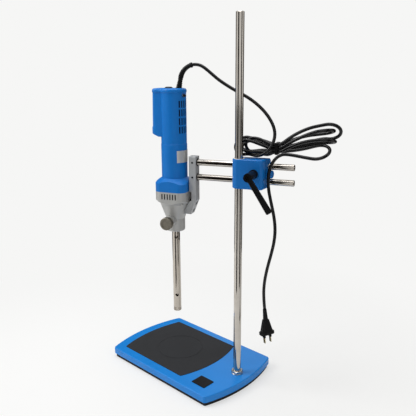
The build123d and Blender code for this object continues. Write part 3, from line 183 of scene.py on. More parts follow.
def make_floor():
    """A wide pale sheet; where the camera sees it, it fades to the backdrop's white."""
    bpy.ops.object.select_all(action="DESELECT")
    bpy.ops.mesh.primitive_plane_add(size=14.0, location=(0, 0, -0.0004))
    floor = bpy.context.object
    floor.name = "floor"
    made, tree, shader = new_material("pale_floor", "F4F4F2")
    place = object_place(tree)
    tint = blend_colours(tree, noise(tree, place, 240.0), srgb("F6F6F5"), srgb("F1F1F0"))
    tree.links.new(tint, shader.inputs["Base Color"])
    shader.inputs["Roughness"].default_value = 0.85
    reach = add(tree, "ShaderNodeVectorMath", {"operation": "LENGTH"}, i0=place).outputs["Value"]
    fade = add(tree, "ShaderNodeMapRange", {"interpolation_type": "SMOOTHSTEP"}, Value=reach,
               From_Min=0.25, From_Max=0.75, To_Min=FLOOR_WHITE_NEAR, To_Max=1.0).outputs["Result"]
    path = add(tree, "ShaderNodeLightPath")
    seen = add(tree, "ShaderNodeMath", {"operation": "MULTIPLY"}, i0=path.outputs["Is Camera Ray"], i1=fade)
    white = add(tree, "ShaderNodeEmission", Color=srgb(BACKDROP), Strength=1.0)
    mix = add(tree, "ShaderNodeMixShader", Fac=seen.outputs[0], i1=shader.outputs[0], i2=white.outputs[0])
    tree.links.new(mix.outputs[0], tree.nodes["Material Output"].inputs["Surface"])
    floor.data.materials.append(made)


def make_world():
    """Even light from all round; the camera and reflections see the backdrop's white instead."""
    world = bpy.data.worlds.new("studio")
    bpy.context.scene.world = world
    world.use_nodes = True
    tree = world.node_tree
    tree.nodes.clear()
    path = add(tree, "ShaderNodeLightPath")
    seen = path.outputs["Is Camera Ray"]
    for kind in ("Is Glossy Ray", "Is Transmission Ray"):
        either = add(tree, "ShaderNodeMath", {"operation": "MAXIMUM"}, i0=seen, i1=path.outputs[kind])
        seen = either.outputs[0]
    even = add(tree, "ShaderNodeBackground", Color=srgb("FFFFFF"), Strength=EVEN_LIGHT)
    white = add(tree, "ShaderNodeBackground", Color=srgb(BACKDROP), Strength=1.0)
    mix = add(tree, "ShaderNodeMixShader", Fac=seen, i1=even.outputs[0], i2=white.outputs[0])
    add(tree, "ShaderNodeOutputWorld", Surface=mix.outputs[0])


def area_lamp(name, place, target, width, height, power):
    """A soft box at a place, facing a target, with its sides in metres and its power in watts."""
    data = bpy.data.lights.new(name, "AREA")
    data.shape = "RECTANGLE"
    data.size, data.size_y, data.energy = width, height, power
    lamp = bpy.data.objects.new(name, data)
    bpy.context.scene.collection.objects.link(lamp)
    facing = (Vector(target) - Vector(place)).to_track_quat("-Z", "Y")
    lamp.matrix_world = Matrix.Translation(place) @ facing.to_matrix().to_4x4()


def dark_card(name, toward, distance, width, low, high, colour):
    """An upright card that stands toward a heading from the pole, in degrees.

    The camera doesn't see it and it throws no shadow, but every glossy surface reflects it.
    """
    bpy.ops.object.select_all(action="DESELECT")
    bpy.ops.mesh.primitive_plane_add(size=1.0)
    card = bpy.context.object
    card.name = name
    upright = Matrix.Rotation(radians(toward), 4, "Z") @ Matrix.Rotation(radians(-90), 4, "Y")
    centre = POLE + Vector((cos(radians(toward)), sin(radians(toward)), 0)) * distance
    centre.z = (low + high) / 2
    card.data.transform(Matrix.Translation(centre) @ upright @ Matrix.Diagonal((high - low, width, 1.0, 1.0)))
    made, tree, shader = new_material("felt_" + name, colour)
    shader.inputs["Roughness"].default_value = 1.0
    shader.inputs["Specular IOR Level"].default_value = 0.0
    grain = noise(tree, object_place(tree), 8.0)
    tree.links.new(blend_colours(tree, grain, srgb("1E1B18"), srgb(colour)), shader.inputs["Base Color"])
    card.data.materials.append(made)
    card.visible_camera = card.visible_diffuse = card.visible_shadow = False


MIDDLE = (0.0, 0.0, 0.3)
OVERHEAD = (-0.05, -0.1)
make_floor()
make_world()
dark_card("card_front", -87.0, 0.46, 0.27, 0.0, 0.95, "241F1B")
dark_card("card_side", 2.0, 0.50, 0.26, 0.0, 0.95, "241F1B")
dark_card("card_right", 80.0, 0.80, 1.10, 0.0, 1.0, "5E5750")
dark_card("card_back", 172.0, 0.80, 1.00, 0.0, 1.0, "7E7870")
area_lamp("key_box", (-0.95, -1.05, 1.6), MIDDLE, 1.0, 0.9, 19.0)
area_lamp("top_box", (*OVERHEAD, 2.0), (*OVERHEAD, 0.0), 1.0, 1.0, 16.0)
area_lamp("side_box", (1.8, 0.3, 1.2), MIDDLE, 0.8, 1.4, 3.0)
print("floor, world, four dark cards and three soft boxes made")

# %% [markdown]
# ## The mains cord
# A 6 mm rubber cord, 2.19 m long. It leaves the boot on the motor, sags over to the clamp block, and most
# of it is folded into a loose hank that a strap holds beside the block; the plug hangs below.
# The motor slides on its bars, so the real lead bends between the arm and the block; this tube is laid in one
# pose.
# A simulation could drop the cord into place, but a tied hank keeps its turns, so they are laid point by
# point: each turn is a left fold, a run through the tie, a right fold and a run back. A quadratic NURBS
# line smooths the points, because it never swings wider than they do.

# %% The cord's route
CORD_D = 6.0
BOOT_END = (-120.906, 18.0, 602.965)
LEAD_RISE = (-119.7, 18.0, 608.7)
LEAD_POINTS = [
    (-113.2, 18.1, 618.3), (-103.5, 18.2, 624.9), (-92.1, 18.3, 627.3), (-80.6, 18.4, 625.3),
    (-70.7, 18.5, 619.1), (-58.5, 18.6, 609.3), (-44.0, 18.8, 597.9),
    (-17.0, 19.2, 582.0), (12.0, 19.6, 568.0), (36.0, 20.0, 550.0), (54.0, 19.0, 529.0),
    (63.5, 15.0, 508.0), (61.5, 8.5, 489.0), (50.0, 5.0, 472.0), (33.0, 8.5, 464.4),
]
DROP_POINTS = [
    (86.0, 3.5, 472.5), (73.5, 3.0, 468.5), (64.5, 2.5, 459.5), (58.0, 2.0, 446.5), (54.8, 1.5, 429.0),
    (56.2, 1.0, 407.0), (61.5, 1.0, 383.0), (68.0, 0.0, 358.0), (71.6, -1.0, 333.0),
    (70.2, -1.0, 308.0), (64.5, -1.0, 281.0), (57.8, -0.5, 254.0), (52.8, 0.0, 226.0),
    (51.6, 0.0, 198.0), (54.6, 0.0, 170.3),
]
TIE_X, TIE_Y, TIE_Z = 66.4, 20.5, 479.0
TIE_PITCH = 6.3
TIE_HALF_RUN = 7.0
# Each strand's seat in the tie, in pitches across (Y) and up (Z).
SEATS = {"back_top": (1, 1), "front_middle": (-1, 0), "back_bottom": (1, -1), "front_bottom": (-1, -1),
         "back_middle": (1, 0), "front_top": (-1, 1), "low": (0, -1)}
LEFT_CENTRE = (27.0, 480.2)
LEFT_RADIUS = 18.8
RIGHT_RADIUS = 20.0
# A fold's control points stand two of these half steps apart, in degrees.
FOLD_HALF_STEP = 17
# Left fold: its tip in X, the angle about the lobe's centre at which it starts, and the lift of the strand
# after it. 180 degrees is toward -Y, and 90 is the top.
# Right fold: the (Y, Z) of its far and near strands, its tip in X, its tilt, and the lifts of both strands.
TURNS = [
    {"left_tip": -15.0, "left_angle": 230.0, "left_lift": 1.5, "out": "back_top", "back": "front_middle",
     "far": (36.0, 507.0), "near": (4.0, 514.5), "right_tip": 166.0, "tilt": 10.0, "lift": (3.0, 2.5)},
    {"left_tip": -8.3, "left_angle": 141.0, "left_lift": 2.0, "out": "back_bottom", "back": "front_bottom",
     "far": (36.5, 491.0), "near": (3.5, 499.0), "right_tip": 168.5, "tilt": 2.0, "lift": (0.0, 4.0)},
    {"left_tip": -1.6, "left_angle": 206.0, "left_lift": 0.0, "out": "back_middle", "back": "front_top",
     "far": (31.5, 501.0), "near": (9.0, 523.5), "right_tip": 177.3, "tilt": 4.0, "lift": (0.0, 6.5)},
    {"left_tip": 5.1, "left_angle": 121.5, "left_lift": -3.2, "out": "low", "back": None,
     "far": (30.0, 483.5), "near": (3.0, 469.0), "right_tip": 160.5, "tilt": 6.0, "lift": (-2.0, 0.0)},
]


def fold(middle, out_side, along):
    """Eight points round a fold: from the +out_side strand over the tip to the other strand."""
    reach = out_side.length / cos(radians(FOLD_HALF_STEP))
    side, ahead = out_side.normalized(), along.normalized()
    angles = [FOLD_HALF_STEP * steps for steps in (7, 5, 3, 1, -1, -3, -5, -7)]
    return [middle + reach * (cos(radians(a)) * ahead + sin(radians(a)) * side) for a in angles]


def strand(start, end, lift):
    """Two points of a strand between the tie and a fold, lifted in its middle."""
    return [start.lerp(end, share) + Vector((0, 0, lift)) for share in (0.33, 0.7)]


def seat(name, side):
    """A strand's place at one end of the tie: side is -1 toward the left lobe and 1 toward the right."""
    across, up = SEATS[name]
    return Vector((TIE_X + side * TIE_HALF_RUN, TIE_Y + across * TIE_PITCH, TIE_Z + up * TIE_PITCH + side))


def hank_points():
    """Control points of the four loose turns, in the arm frame."""
    points = []
    arriving = None
    for turn in TURNS:
        angle = radians(turn["left_angle"])
        outer = Vector((0, LEFT_RADIUS * cos(angle), LEFT_RADIUS * sin(angle)))
        centre = Vector((turn["left_tip"] + LEFT_RADIUS, *LEFT_CENTRE))
        left = fold(centre, outer, Vector((-1, 0, 0)))
        if arriving is not None:
            points += strand(arriving, left[0], 0.0)
        points += left
        start = seat(turn["out"], -1)
        points += strand(left[-1], start, turn["left_lift"]) + [start, seat(turn["out"], 1)]
        far, near = Vector((0, *turn["far"])), Vector((0, *turn["near"]))
        half = (far - near).normalized() * RIGHT_RADIUS
        tip = turn["right_tip"] - half.length
        middle = (far + near) / 2 + Vector((tip, 0, 0))
        tilt = radians(turn["tilt"])
        right = fold(middle, half, Vector((cos(tilt), 0, sin(tilt))))
        points += strand(seat(turn["out"], 1), right[0], turn["lift"][0]) + right
        if turn["back"]:
            end = seat(turn["back"], 1)
            arriving = seat(turn["back"], -1)
            points += strand(right[-1], end, turn["lift"][1]) + [end, arriving]
    return points


route = [Vector(p) for p in [BOOT_END, LEAD_RISE] + LEAD_POINTS] + hank_points()
route += [Vector(p) for p in DROP_POINTS]
print("cord control points", len(route))


# %% [markdown]
# ## The cord's skin
# A curve with a round bevel would do, but its own texture map stretches with the spacing of its points.
# So the tube is built ring by ring, and its map runs in metres along the cord.

# %% The cord as a tube on its route
def nurbs_line(points, resolution):
    """The smooth line that a NURBS spline draws through its control points, as points in metres."""
    curve = bpy.data.curves.new("route", "CURVE")
    curve.dimensions = "3D"
    curve.resolution_u = resolution
    spline = curve.splines.new("NURBS")
    spline.points.add(len(points) - 1)
    for spot, place in zip(spline.points, points):
        spot.co = (*arm(*place), 1.0)
    spline.order_u = 3
    spline.use_endpoint_u = True
    holder = bpy.data.objects.new("route", curve)
    line = bpy.data.meshes.new_from_object(holder)
    spots = [v.co.copy() for v in line.vertices]
    bpy.data.objects.remove(holder)
    bpy.data.meshes.remove(line)
    bpy.data.curves.remove(curve)
    return spots


def as_object(name, mesh):
    """Puts a built mesh into the scene as an object of its own."""
    data = bpy.data.meshes.new(name)
    mesh.to_mesh(data)
    mesh.free()
    piece = bpy.data.objects.new(name, data)
    bpy.context.scene.collection.objects.link(piece)
    return piece


def tube(name, spots, radii, sides):
    """A closed round tube along a line, with a UV map of its turn and its length in metres."""
    mesh = bmesh.new()
    uv = mesh.loops.layers.uv.new("UVMap")
    ahead = (spots[1] - spots[0]).normalized()
    across = ahead.orthogonal().normalized()
    rings, run, runs = [], 0.0, []
    for i, spot in enumerate(spots):
        before, after = spots[max(i - 1, 0)], spots[min(i + 1, len(spots) - 1)]
        turned = (after - before).normalized()
        across = (ahead.rotation_difference(turned) @ across).normalized()
        ahead = turned
        other = ahead.cross(across)
        run += (spot - before).length
        runs.append(run)
        rings.append([mesh.verts.new(spot + radii[i] * (cos(a) * across + sin(a) * other))
                      for a in (2 * pi * k / sides for k in range(sides))])
    for i in range(len(rings) - 1):
        for k in range(sides):
            j = (k + 1) % sides
            face = mesh.faces.new((rings[i][k], rings[i][j], rings[i + 1][j], rings[i + 1][k]))
            face.smooth = True
            corners = ((k, runs[i]), (k + 1, runs[i]), (k + 1, runs[i + 1]), (k, runs[i + 1]))
            for loop, (turn, length) in zip(face.loops, corners):
                loop[uv].uv = (turn / sides, length)
    mesh.faces.new(list(reversed(rings[0])))
    mesh.faces.new(rings[-1])
    return as_object(name, mesh), run


cord_line = nurbs_line(route, 8)
mains_cord, cord_length = tube("mains_cord", cord_line, [CORD_D / 2 * MM] * len(cord_line), 14)
print("cord", round(cord_length, 3), "m")


def tightest_bend(spots, step=3):
    """The smallest radius of the line in metres, from circles through points three steps apart."""
    radii = []
    for first, middle, last in zip(spots, spots[step:], spots[2 * step:]):
        area = (middle - first).cross(last - first).length / 2
        sides = (middle - first).length * (last - middle).length * (last - first).length
        radii.append(sides / max(4 * area, 1e-12))
    return min(radii)


print("tightest bend", round(tightest_bend(cord_line) * 1000, 1), "mm")
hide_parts("cord_lead", "cord_hank", "cord_drop")
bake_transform(mains_cord)

# %% [markdown]
# ## Finishes
# Each material is named for what the real part is made of, except the black that paints shade in the vents
# and round the bars. A pattern keeps its real size because it reads the row frame in metres. Image textures
# would need files and a map on each solid; noise needs neither.


# %% Paints and mouldings
def paint(name, colour, deeper, rough, grain_mm, coat):
    """Sprayed or powder paint: faint orange peel in a gloss coat, and slightly uneven pigment."""
    made, tree, shader = new_material(name, colour)
    place = object_place(tree)
    cloud = noise(tree, place, 45.0, 2.0)
    tint = blend_colours(tree, cloud, srgb(deeper), srgb(colour))
    tree.links.new(tint, shader.inputs["Base Color"])
    scuffs = noise(tree, place, 6.0, 6.0, 0.7)
    tree.links.new(between(tree, scuffs, rough - 0.07, rough + 0.09), shader.inputs["Roughness"])
    shader.inputs["Specular IOR Level"].default_value = 0.3
    shader.inputs["Coat Weight"].default_value = coat
    shader.inputs["Coat Roughness"].default_value = 0.16
    bump(tree, shader, noise(tree, place, grain_mm, 2.0), 0.05, 0.35)
    return made


def moulded(name, colour, darker, rough, texture_mm, depth_mm=0.03, shine=0.16):
    """Injection moulding: a fine spark-eroded texture with a slow drift of tone from the mould flow."""
    made, tree, shader = new_material(name, colour)
    place = object_place(tree)
    flow = noise(tree, object_place(tree, scale=(1.0, 1.0, 0.35)), 26.0, 3.0, 0.6)
    tint = blend_colours(tree, between(tree, flow, 0.15, 0.95), srgb(darker), srgb(colour))
    tree.links.new(tint, shader.inputs["Base Color"])
    tree.links.new(between(tree, noise(tree, place, 3.0, 4.0), rough - 0.06, rough + 0.08),
                   shader.inputs["Roughness"])
    shader.inputs["Specular IOR Level"].default_value = shine
    bump(tree, shader, noise(tree, place, texture_mm, 2.0, 0.6), depth_mm, 0.6)
    return made


def rubber(name, colour, paler, rough, grain_mm, depth_mm):
    """Rubber: pebbled, matt, and a little dusty on its high spots."""
    made, tree, shader = new_material(name, colour)
    place = object_place(tree)
    pebbles = noise(tree, place, grain_mm, 2.0, 0.5)
    dust = noise(tree, place, 30.0, 5.0, 0.65)
    both = add(tree, "ShaderNodeMath", {"operation": "MULTIPLY"}, i0=pebbles, i1=dust).outputs[0]
    tint = blend_colours(tree, both, srgb(colour), srgb(paler))
    tree.links.new(tint, shader.inputs["Base Color"])
    tree.links.new(between(tree, dust, rough - 0.05, rough + 0.1), shader.inputs["Roughness"])
    shader.inputs["Specular IOR Level"].default_value = 0.12
    bump(tree, shader, pebbles, depth_mm, 0.8)
    return made


print("paint, moulding and rubber finishes ready")


# %% [markdown]
# ## Metals
# A bare metal has no colour of its own under a shine: its colour tints what it mirrors. So these finishes
# differ mostly in roughness and in the direction of their marks, which decide how far a reflection spreads.

# %% Metals
def ground_bar(name, colour, stain, rough, along):
    """Ground and polished bar: hair-fine marks round it and faint handling stains along it."""
    made, tree, shader = new_material(name, colour)
    shader.inputs["Metallic"].default_value = 1.0
    stretch = [1.0 if axis == along else 0.03 for axis in "XYZ"]
    marks = noise(tree, object_place(tree, scale=stretch, turn=(0, 0, -SWIVEL)), 0.5, 3.0, 0.7)
    place = object_place(tree)
    smear = noise(tree, place, 22.0, 4.0, 0.6)
    tint = blend_colours(tree, between(tree, smear, 0.0, 0.8), srgb(colour), srgb(stain))
    tree.links.new(tint, shader.inputs["Base Color"])
    tree.links.new(between(tree, smear, rough - 0.03, rough + 0.06), shader.inputs["Roughness"])
    bump(tree, shader, marks, 0.0015, 0.2)
    return made


def plain_metal(name, colour, stain, rough, grain_mm=0.8, depth_mm=0.02):
    """Turned, plated or dull steel: tool marks and a mottled, slightly oxidised tone."""
    made, tree, shader = new_material(name, colour)
    shader.inputs["Metallic"].default_value = 1.0
    place = object_place(tree)
    mottle = noise(tree, place, 5.0, 5.0, 0.65)
    tree.links.new(blend_colours(tree, mottle, srgb(colour), srgb(stain)), shader.inputs["Base Color"])
    tree.links.new(between(tree, mottle, rough - 0.08, rough + 0.12), shader.inputs["Roughness"])
    bump(tree, shader, noise(tree, place, grain_mm, 3.0), depth_mm, 0.5)
    return made


def blasted_casting(name, colour, darker, rough):
    """Die casting with a grey enamel: shot-blasted grain under thin paint, duller in soft patches."""
    made, tree, shader = new_material(name, colour)
    shader.inputs["Metallic"].default_value = 0.35
    place = object_place(tree)
    grain = noise(tree, place, 0.7, 4.0, 0.65)
    cloud = noise(tree, place, 18.0, 3.0)
    tree.links.new(blend_colours(tree, cloud, srgb(darker), srgb(colour)), shader.inputs["Base Color"])
    tree.links.new(between(tree, cloud, rough - 0.06, rough + 0.08), shader.inputs["Roughness"])
    bump(tree, shader, grain, 0.05, 0.55)
    return made


def wound_wire(name, colour, gap, wire_mm):
    """Enamelled winding: close turns of wire as fine ridges about the motor's axis.

    A wave texture's bands stand pi / (10 * Scale) apart, here and in the sheets below.
    """
    made, tree, shader = new_material(name, colour)
    shader.inputs["Metallic"].default_value = 0.8
    shader.inputs["Roughness"].default_value = 0.35
    place = object_place(tree)
    turns = add(tree, "ShaderNodeTexWave", {"bands_direction": "Z"}, Vector=place,
                Scale=1000.0 * pi / (10.0 * wire_mm), Distortion=1.5, Detail=1.0).outputs["Fac"]
    tree.links.new(blend_colours(tree, turns, srgb(gap), srgb(colour)), shader.inputs["Base Color"])
    bump(tree, shader, turns, 0.15, 0.8)
    return made


def stacked_sheets(name, colour, gap, sheet_mm):
    """Electrical steel in thin punched sheets, seen at their edges."""
    made, tree, shader = new_material(name, colour)
    shader.inputs["Metallic"].default_value = 0.9
    shader.inputs["Roughness"].default_value = 0.45
    sheets = add(tree, "ShaderNodeTexWave", {"bands_direction": "Z"}, Vector=object_place(tree),
                 Scale=1000.0 * pi / (10.0 * sheet_mm), Distortion=0.4, Detail=0.0).outputs["Fac"]
    tree.links.new(blend_colours(tree, sheets, srgb(gap), srgb(colour)), shader.inputs["Base Color"])
    bump(tree, shader, sheets, 0.05, 0.6)
    return made


def brushed_plate(name, colour, darker, rough, metallic):
    """Thin plate brushed in one direction, with long fine scratches."""
    made, tree, shader = new_material(name, colour)
    shader.inputs["Metallic"].default_value = metallic
    shader.inputs["Specular IOR Level"].default_value = 0.5 if metallic else 0.15
    lines = noise(tree, object_place(tree, scale=(0.04, 1.0, 1.0)), 0.35, 3.0, 0.7)
    tree.links.new(blend_colours(tree, lines, srgb(darker), srgb(colour)), shader.inputs["Base Color"])
    tree.links.new(between(tree, lines, rough - 0.05, rough + 0.1), shader.inputs["Roughness"])
    bump(tree, shader, lines, 0.01, 0.5)
    return made


print("bar, metal, casting, winding, sheet and plate finishes ready")

# %% Give every node its finish
blue_housing = moulded("blue_housing_plastic", "0A76CB", "0768B8", 0.34, 0.5, shine=0.24)
black_plug = moulded("black_plug_plastic", "0D0D0F", "070708", 0.42, 0.6)
FINISHES = [
    # Satin enamel over a faint orange peel: the base reads as painted metal and not as plastic.
    (paint("blue_enamel", "1284DA", "0E7ACB", 0.34, 0.9, 0.06), ["base_cover"]),
    # The clamp's deeper blue and thinner coat set its flat upright faces apart from the base.
    (paint("blue_clamp_paint", "0A71C2", "0766B4", 0.36, 0.8, 0.04), ["clamp_block", "block_end_knob"]),
    # Housing plastic: satin, so that broad soft highlights run down it.
    (blue_housing, ["motor_housing", "rear_housing"]),
    # The handles are a shade glossier than the plug, and their edges catch thin lights.
    (moulded("black_lever_plastic", "0F0F11", "08080A", 0.34, 0.7),
     ["front_lever_handle", "back_lever_handle", "speed_dial", "cooling_fan", "toggle_lever"]),
    (black_plug, ["plug_body", "cord_boot", "cord_tie"]),
    # Insulators and boards inside: each has its own colour, so the motor reads as built of real parts.
    (moulded("brown_phenolic", "3A241A", "2A1912", 0.45, 0.8), ["brush_carrier", "speed_control"]),
    (moulded("natural_nylon", "D8D5C8", "C8C4B4", 0.4, 0.8), ["pole_bush", "shaft_bushes"]),
    (moulded("green_board", "1C5B38", "164A2D", 0.35, 1.2), ["speed_board"]),
    # The mat is matt and paler than the blacks round it, with dust in its pebbles.
    (rubber("charcoal_mat_rubber", "2C2D2F", "3B3C3F", 0.72, 1.1, 0.12), ["work_mat"]),
    (rubber("black_foot_rubber", "0E0E0F", "18181A", 0.8, 1.5, 0.15), ["anti_slip_pad"]),
    (paint("black_tray_coat", "0E0E10", "0A0A0C", 0.5, 0.7, 0.0), ["base_tray"]),
    # Nearly mirror-smooth bars: white streaks between dark ones run along them.
    (ground_bar("stainless_pole", "C9C4BD", "A69F96", 0.07, "Z"), ["support_rod"]),
    (ground_bar("stainless_bars", "C9C4BD", "A69F96", 0.07, "X"), ["upper_rod", "lower_rod"]),
    (ground_bar("tool_stainless", "C4BDB4", "9F968A", 0.07, "Z"),
     ["tool_tube", "stator_head", "drive_shaft", "rotor_head"]),
    # Screws and fittings: bright zinc, black oxide, and a dull worn knurl that stands out from both.
    (plain_metal("zinc_plate", "C4C4C2", "9E9D98", 0.3),
     ["rod_washer", "rod_nut", "rod_bolt", "tray_screws", "housing_screws", "toggle_bush"]),
    (plain_metal("black_oxide", "2B2A2A", "1A1919", 0.4),
     ["front_lever_screw", "back_lever_screw", "block_set_screw", "bracket_bolts", "rod_grub_screws"]),
    (plain_metal("dull_knurled_steel", "A09A8D", "6B665C", 0.42, 0.9, 0.1), ["thumb_screw"]),
    (plain_metal("shaft_steel", "B9B8B4", "94928D", 0.25),
     ["armature_shaft", "shaft_bearings", "drive_coupling"]),
    (plain_metal("cast_iron_ballast", "54524F", "3B3937", 0.6, 2.0, 0.1), ["ballast_plate"]),
    # Grey castings: a grainy half-metal, so that light spreads over them without streaks.
    (blasted_casting("grey_nose_casting", "B8B8B5", "AAAAA8", 0.44), ["nose_housing", "bearing_bridge"]),
    (blasted_casting("grey_bracket_casting", "B6B8B9", "A9ABAC", 0.46), ["bracket"]),
    # Plates: one pale and one black, both with fine scratches along them.
    (brushed_plate("bare_rating_foil", "D9D9D6", "C4C4C1", 0.35, 0.5), ["rating_plate"]),
    (brushed_plate("black_anodised_plate", "0E0E10", "09090B", 0.4, 0.0), ["front_plate"]),
    # The motor's electrical parts: copper turns and the edges of thin sheets show as fine ridges.
    (wound_wire("copper_winding", "B5652F", "5E2F14", 0.6), ["field_coils", "armature_winding"]),
    (stacked_sheets("core_lamination", "85858A", "46464A", 0.5), ["armature_core", "field_stack"]),
    (plain_metal("commutator_copper", "C27B4A", "8E5128", 0.28), ["commutator"]),
    (moulded("brush_carbon", "2A2A2B", "1E1E1F", 0.6, 0.4), ["brushes"]),
    (plain_metal("nickelled_brass", "C9B98A", "A4935F", 0.26), ["plug_blades"]),
]


for material, names in FINISHES:
    for name in names:
        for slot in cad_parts[name].material_slots:
            slot.material = material
finished = [name for _, names in FINISHES for name in names]
waiting = sorted(set(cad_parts) - set(finished) - {"cord_lead", "cord_hank", "cord_drop"})
print("finishes", len(FINISHES), "nodes", len(finished), "without one", waiting)


# %% [markdown]
# ## Cord sheath
# An extruded rubber sheath has faint lines along it, left by the die. They follow the cord round its bends,
# so this finish reads the tube's own map and not the room.

# %% Cord sheath
def cord_sheath():
    """Extruded rubber sheath: fine lengthwise drag lines and a dull sheen."""
    made, tree, shader = new_material("black_cord_rubber", "131314")
    along = add(tree, "ShaderNodeUVMap", {"uv_map": "UVMap"}).outputs["UV"]
    drawn = add(tree, "ShaderNodeMapping", Vector=along, Scale=(10.0, 4.0, 1.0)).outputs["Vector"]
    lines = add(tree, "ShaderNodeTexNoise", Vector=drawn, Scale=1.0, Detail=3.0).outputs["Fac"]
    dust = noise(tree, object_place(tree), 14.0, 2.0)
    tint = blend_colours(tree, dust, srgb("050506"), srgb("0D0D0F"))
    shader.inputs["Specular IOR Level"].default_value = 0.3
    tree.links.new(tint, shader.inputs["Base Color"])
    tree.links.new(between(tree, lines, 0.17, 0.3), shader.inputs["Roughness"])
    bump(tree, shader, lines, 0.012, 0.4)
    return made


mains_cord.data.materials.append(cord_sheath())
print("sheath on the cord", mains_cord.data.materials[0].name)

# %% [markdown]
# ## Small pieces on the motor
# The lid's raised rim and the cord's bend sleeve are thin trims, so they are modelled here on the solids that
# carry them. So are the black linings in the vents and the black rings where the bars enter the bracket,
# which are painted shade.


# %% Rings joined into a skin
# The motor's axis in X and the rods' plane in Y, in millimetres of the arm frame.
MOTOR_X, ROD_Y = -137.0, 18.0


def motor(x, y, z):
    """A point in millimetres from the motor's axis as a point of the row frame in metres."""
    return arm(MOTOR_X + x, ROD_Y + y, z)


def skin(name, rings, close_ends, material):
    """Joins closed rings of points into one smooth-shaded skin, as a tube or as a ring of its own."""
    mesh = bmesh.new()
    rows = [[mesh.verts.new(p) for p in ring] for ring in rings]
    count = len(rows[0])
    pairs = list(zip(rows, rows[1:])) if close_ends else list(zip(rows, rows[1:] + rows[:1]))
    for low, high in pairs:
        for k in range(count):
            mesh.faces.new((low[k], low[(k + 1) % count], high[(k + 1) % count], high[k]))
    if close_ends:
        mesh.faces.new(list(reversed(rows[0])))
        mesh.faces.new(rows[-1])
    bmesh.ops.recalc_face_normals(mesh, faces=mesh.faces)
    piece = as_object(name, mesh)
    bpy.ops.object.select_all(action="DESELECT")
    piece.select_set(True)
    bpy.context.view_layer.objects.active = piece
    bpy.ops.object.shade_smooth_by_angle(angle=radians(35))
    piece.data.materials.append(material)
    return piece


def hoop(name, profile, centre, turn, material, sides=64):
    """A ring turned from a (radius, height) profile in millimetres, about a point of the arm frame."""
    placed = Matrix.Translation(centre) @ turn
    rings = [[ARM @ ((placed @ Vector((r * cos(2 * pi * k / sides), r * sin(2 * pi * k / sides), h))) * MM)
              for k in range(sides)] for r, h in profile]
    return skin(name, rings, False, material)


MOTOR_AXIS = Vector((MOTOR_X, ROD_Y, 0.0))
UPRIGHT = Matrix.Identity(4)
ALONG_ROD = Matrix.Rotation(radians(90), 4, "Y")
print("motor's axis at", tuple(MOTOR_AXIS), "mm in the arm frame")


# %% [markdown]
# ## Lid
# The rear housing ends in a flat cover with a rolled rim. It could be the housing's top face bevelled, but
# the frame's solids are kept as they are, so the cover is a skin of rings set over it. Two holes let the
# speed dial and the cord's boot through.

# %% Lid on the rear housing
# The housing's outline is a round barrel joined to a box with rounded corners, the switch bump.
REAR_R, BUMP_OUT, BUMP_HALF, BUMP_CORNER = 24.7, 37.5, 18.0, 8.0


def outside(x, y):
    """How far a point lies outside the rear housing's outline, in millimetres."""
    away_x = max(abs(x + BUMP_OUT / 2) - BUMP_OUT / 2 + BUMP_CORNER, 0.0)
    away_y = max(abs(y) - BUMP_HALF + BUMP_CORNER, 0.0)
    return min(sqrt(x * x + y * y) - REAR_R, sqrt(away_x ** 2 + away_y ** 2) - BUMP_CORNER)


def outline(grow, z, count=96):
    """The rear housing's outline, grown by some millimetres, as a ring of points."""
    ring = []
    for k in range(count):
        angle = 2 * pi * k / count
        near, far = 8.0, 60.0
        for _ in range(30):
            half = (near + far) / 2
            if outside(half * cos(angle), half * sin(angle)) < grow:
                near = half
            else:
                far = half
        ring.append(motor(near * cos(angle), near * sin(angle), z))
    return ring


# Each ring of the lid: how far it grows past the outline, and its height.
LID_PROFILE = [(-2.0, 576.2), (0.5, 576.2), (0.9, 576.8), (0.9, 580.0), (0.4, 581.9), (-0.9, 583.2),
               (-3.0, 583.8), (-9.0, 584.0)]
# Each hole of the lid: its place in X from the motor's axis, and its radius.
LID_HOLES = [(-9.0, 8.9), (11.0, 8.0)]
LID_MIDDLE_Z = 580
CUTTER_DEPTH = 0.03
lid = skin("housing_lid", [outline(grow, z) for grow, z in LID_PROFILE], True, blue_housing)
for x, radius in LID_HOLES:
    bpy.ops.object.select_all(action="DESELECT")
    bpy.ops.mesh.primitive_cylinder_add(vertices=48, radius=radius * MM, depth=CUTTER_DEPTH,
                                        location=motor(x, 0, LID_MIDDLE_Z))
    cutter = bpy.context.object
    bpy.context.view_layer.objects.active = lid
    hole = lid.modifiers.new("hole", "BOOLEAN")
    hole.object = cutter
    hole.solver = "EXACT"
    bpy.ops.object.modifier_apply(modifier="hole")
    bpy.data.objects.remove(cutter)
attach(lid, "arm")
print("lid faces", len(lid.data.polygons))


# %% [markdown]
# ## Bend sleeve
# A soft sleeve keeps the cord from creasing where it leaves the boot. It is the cord's own line again, with
# larger radii that shrink along it, so it bends wherever the cord bends.

# %% Bend sleeve on the cord
# The sleeve follows the cord's first points, tapers by SLEEVE_TAPER and ends in a rolled lip.
SLEEVE_POINTS = 26
SLEEVE_R, SLEEVE_TAPER = 4.9, 1.0
SLEEVE_LIP = [4.6, 4.8, 4.8, 3.4]
sleeve_line = cord_line[:SLEEVE_POINTS]
sleeve_radii = [(SLEEVE_R - SLEEVE_TAPER * i / (SLEEVE_POINTS - 1)) * MM for i in range(SLEEVE_POINTS)]
sleeve_radii[-len(SLEEVE_LIP):] = [radius * MM for radius in SLEEVE_LIP]
bend_sleeve, sleeve_length = tube("bend_sleeve", sleeve_line, sleeve_radii, 20)
bend_sleeve.data.materials.append(black_plug)
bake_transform(bend_sleeve)
print("bend sleeve", round(sleeve_length, 3), "m")
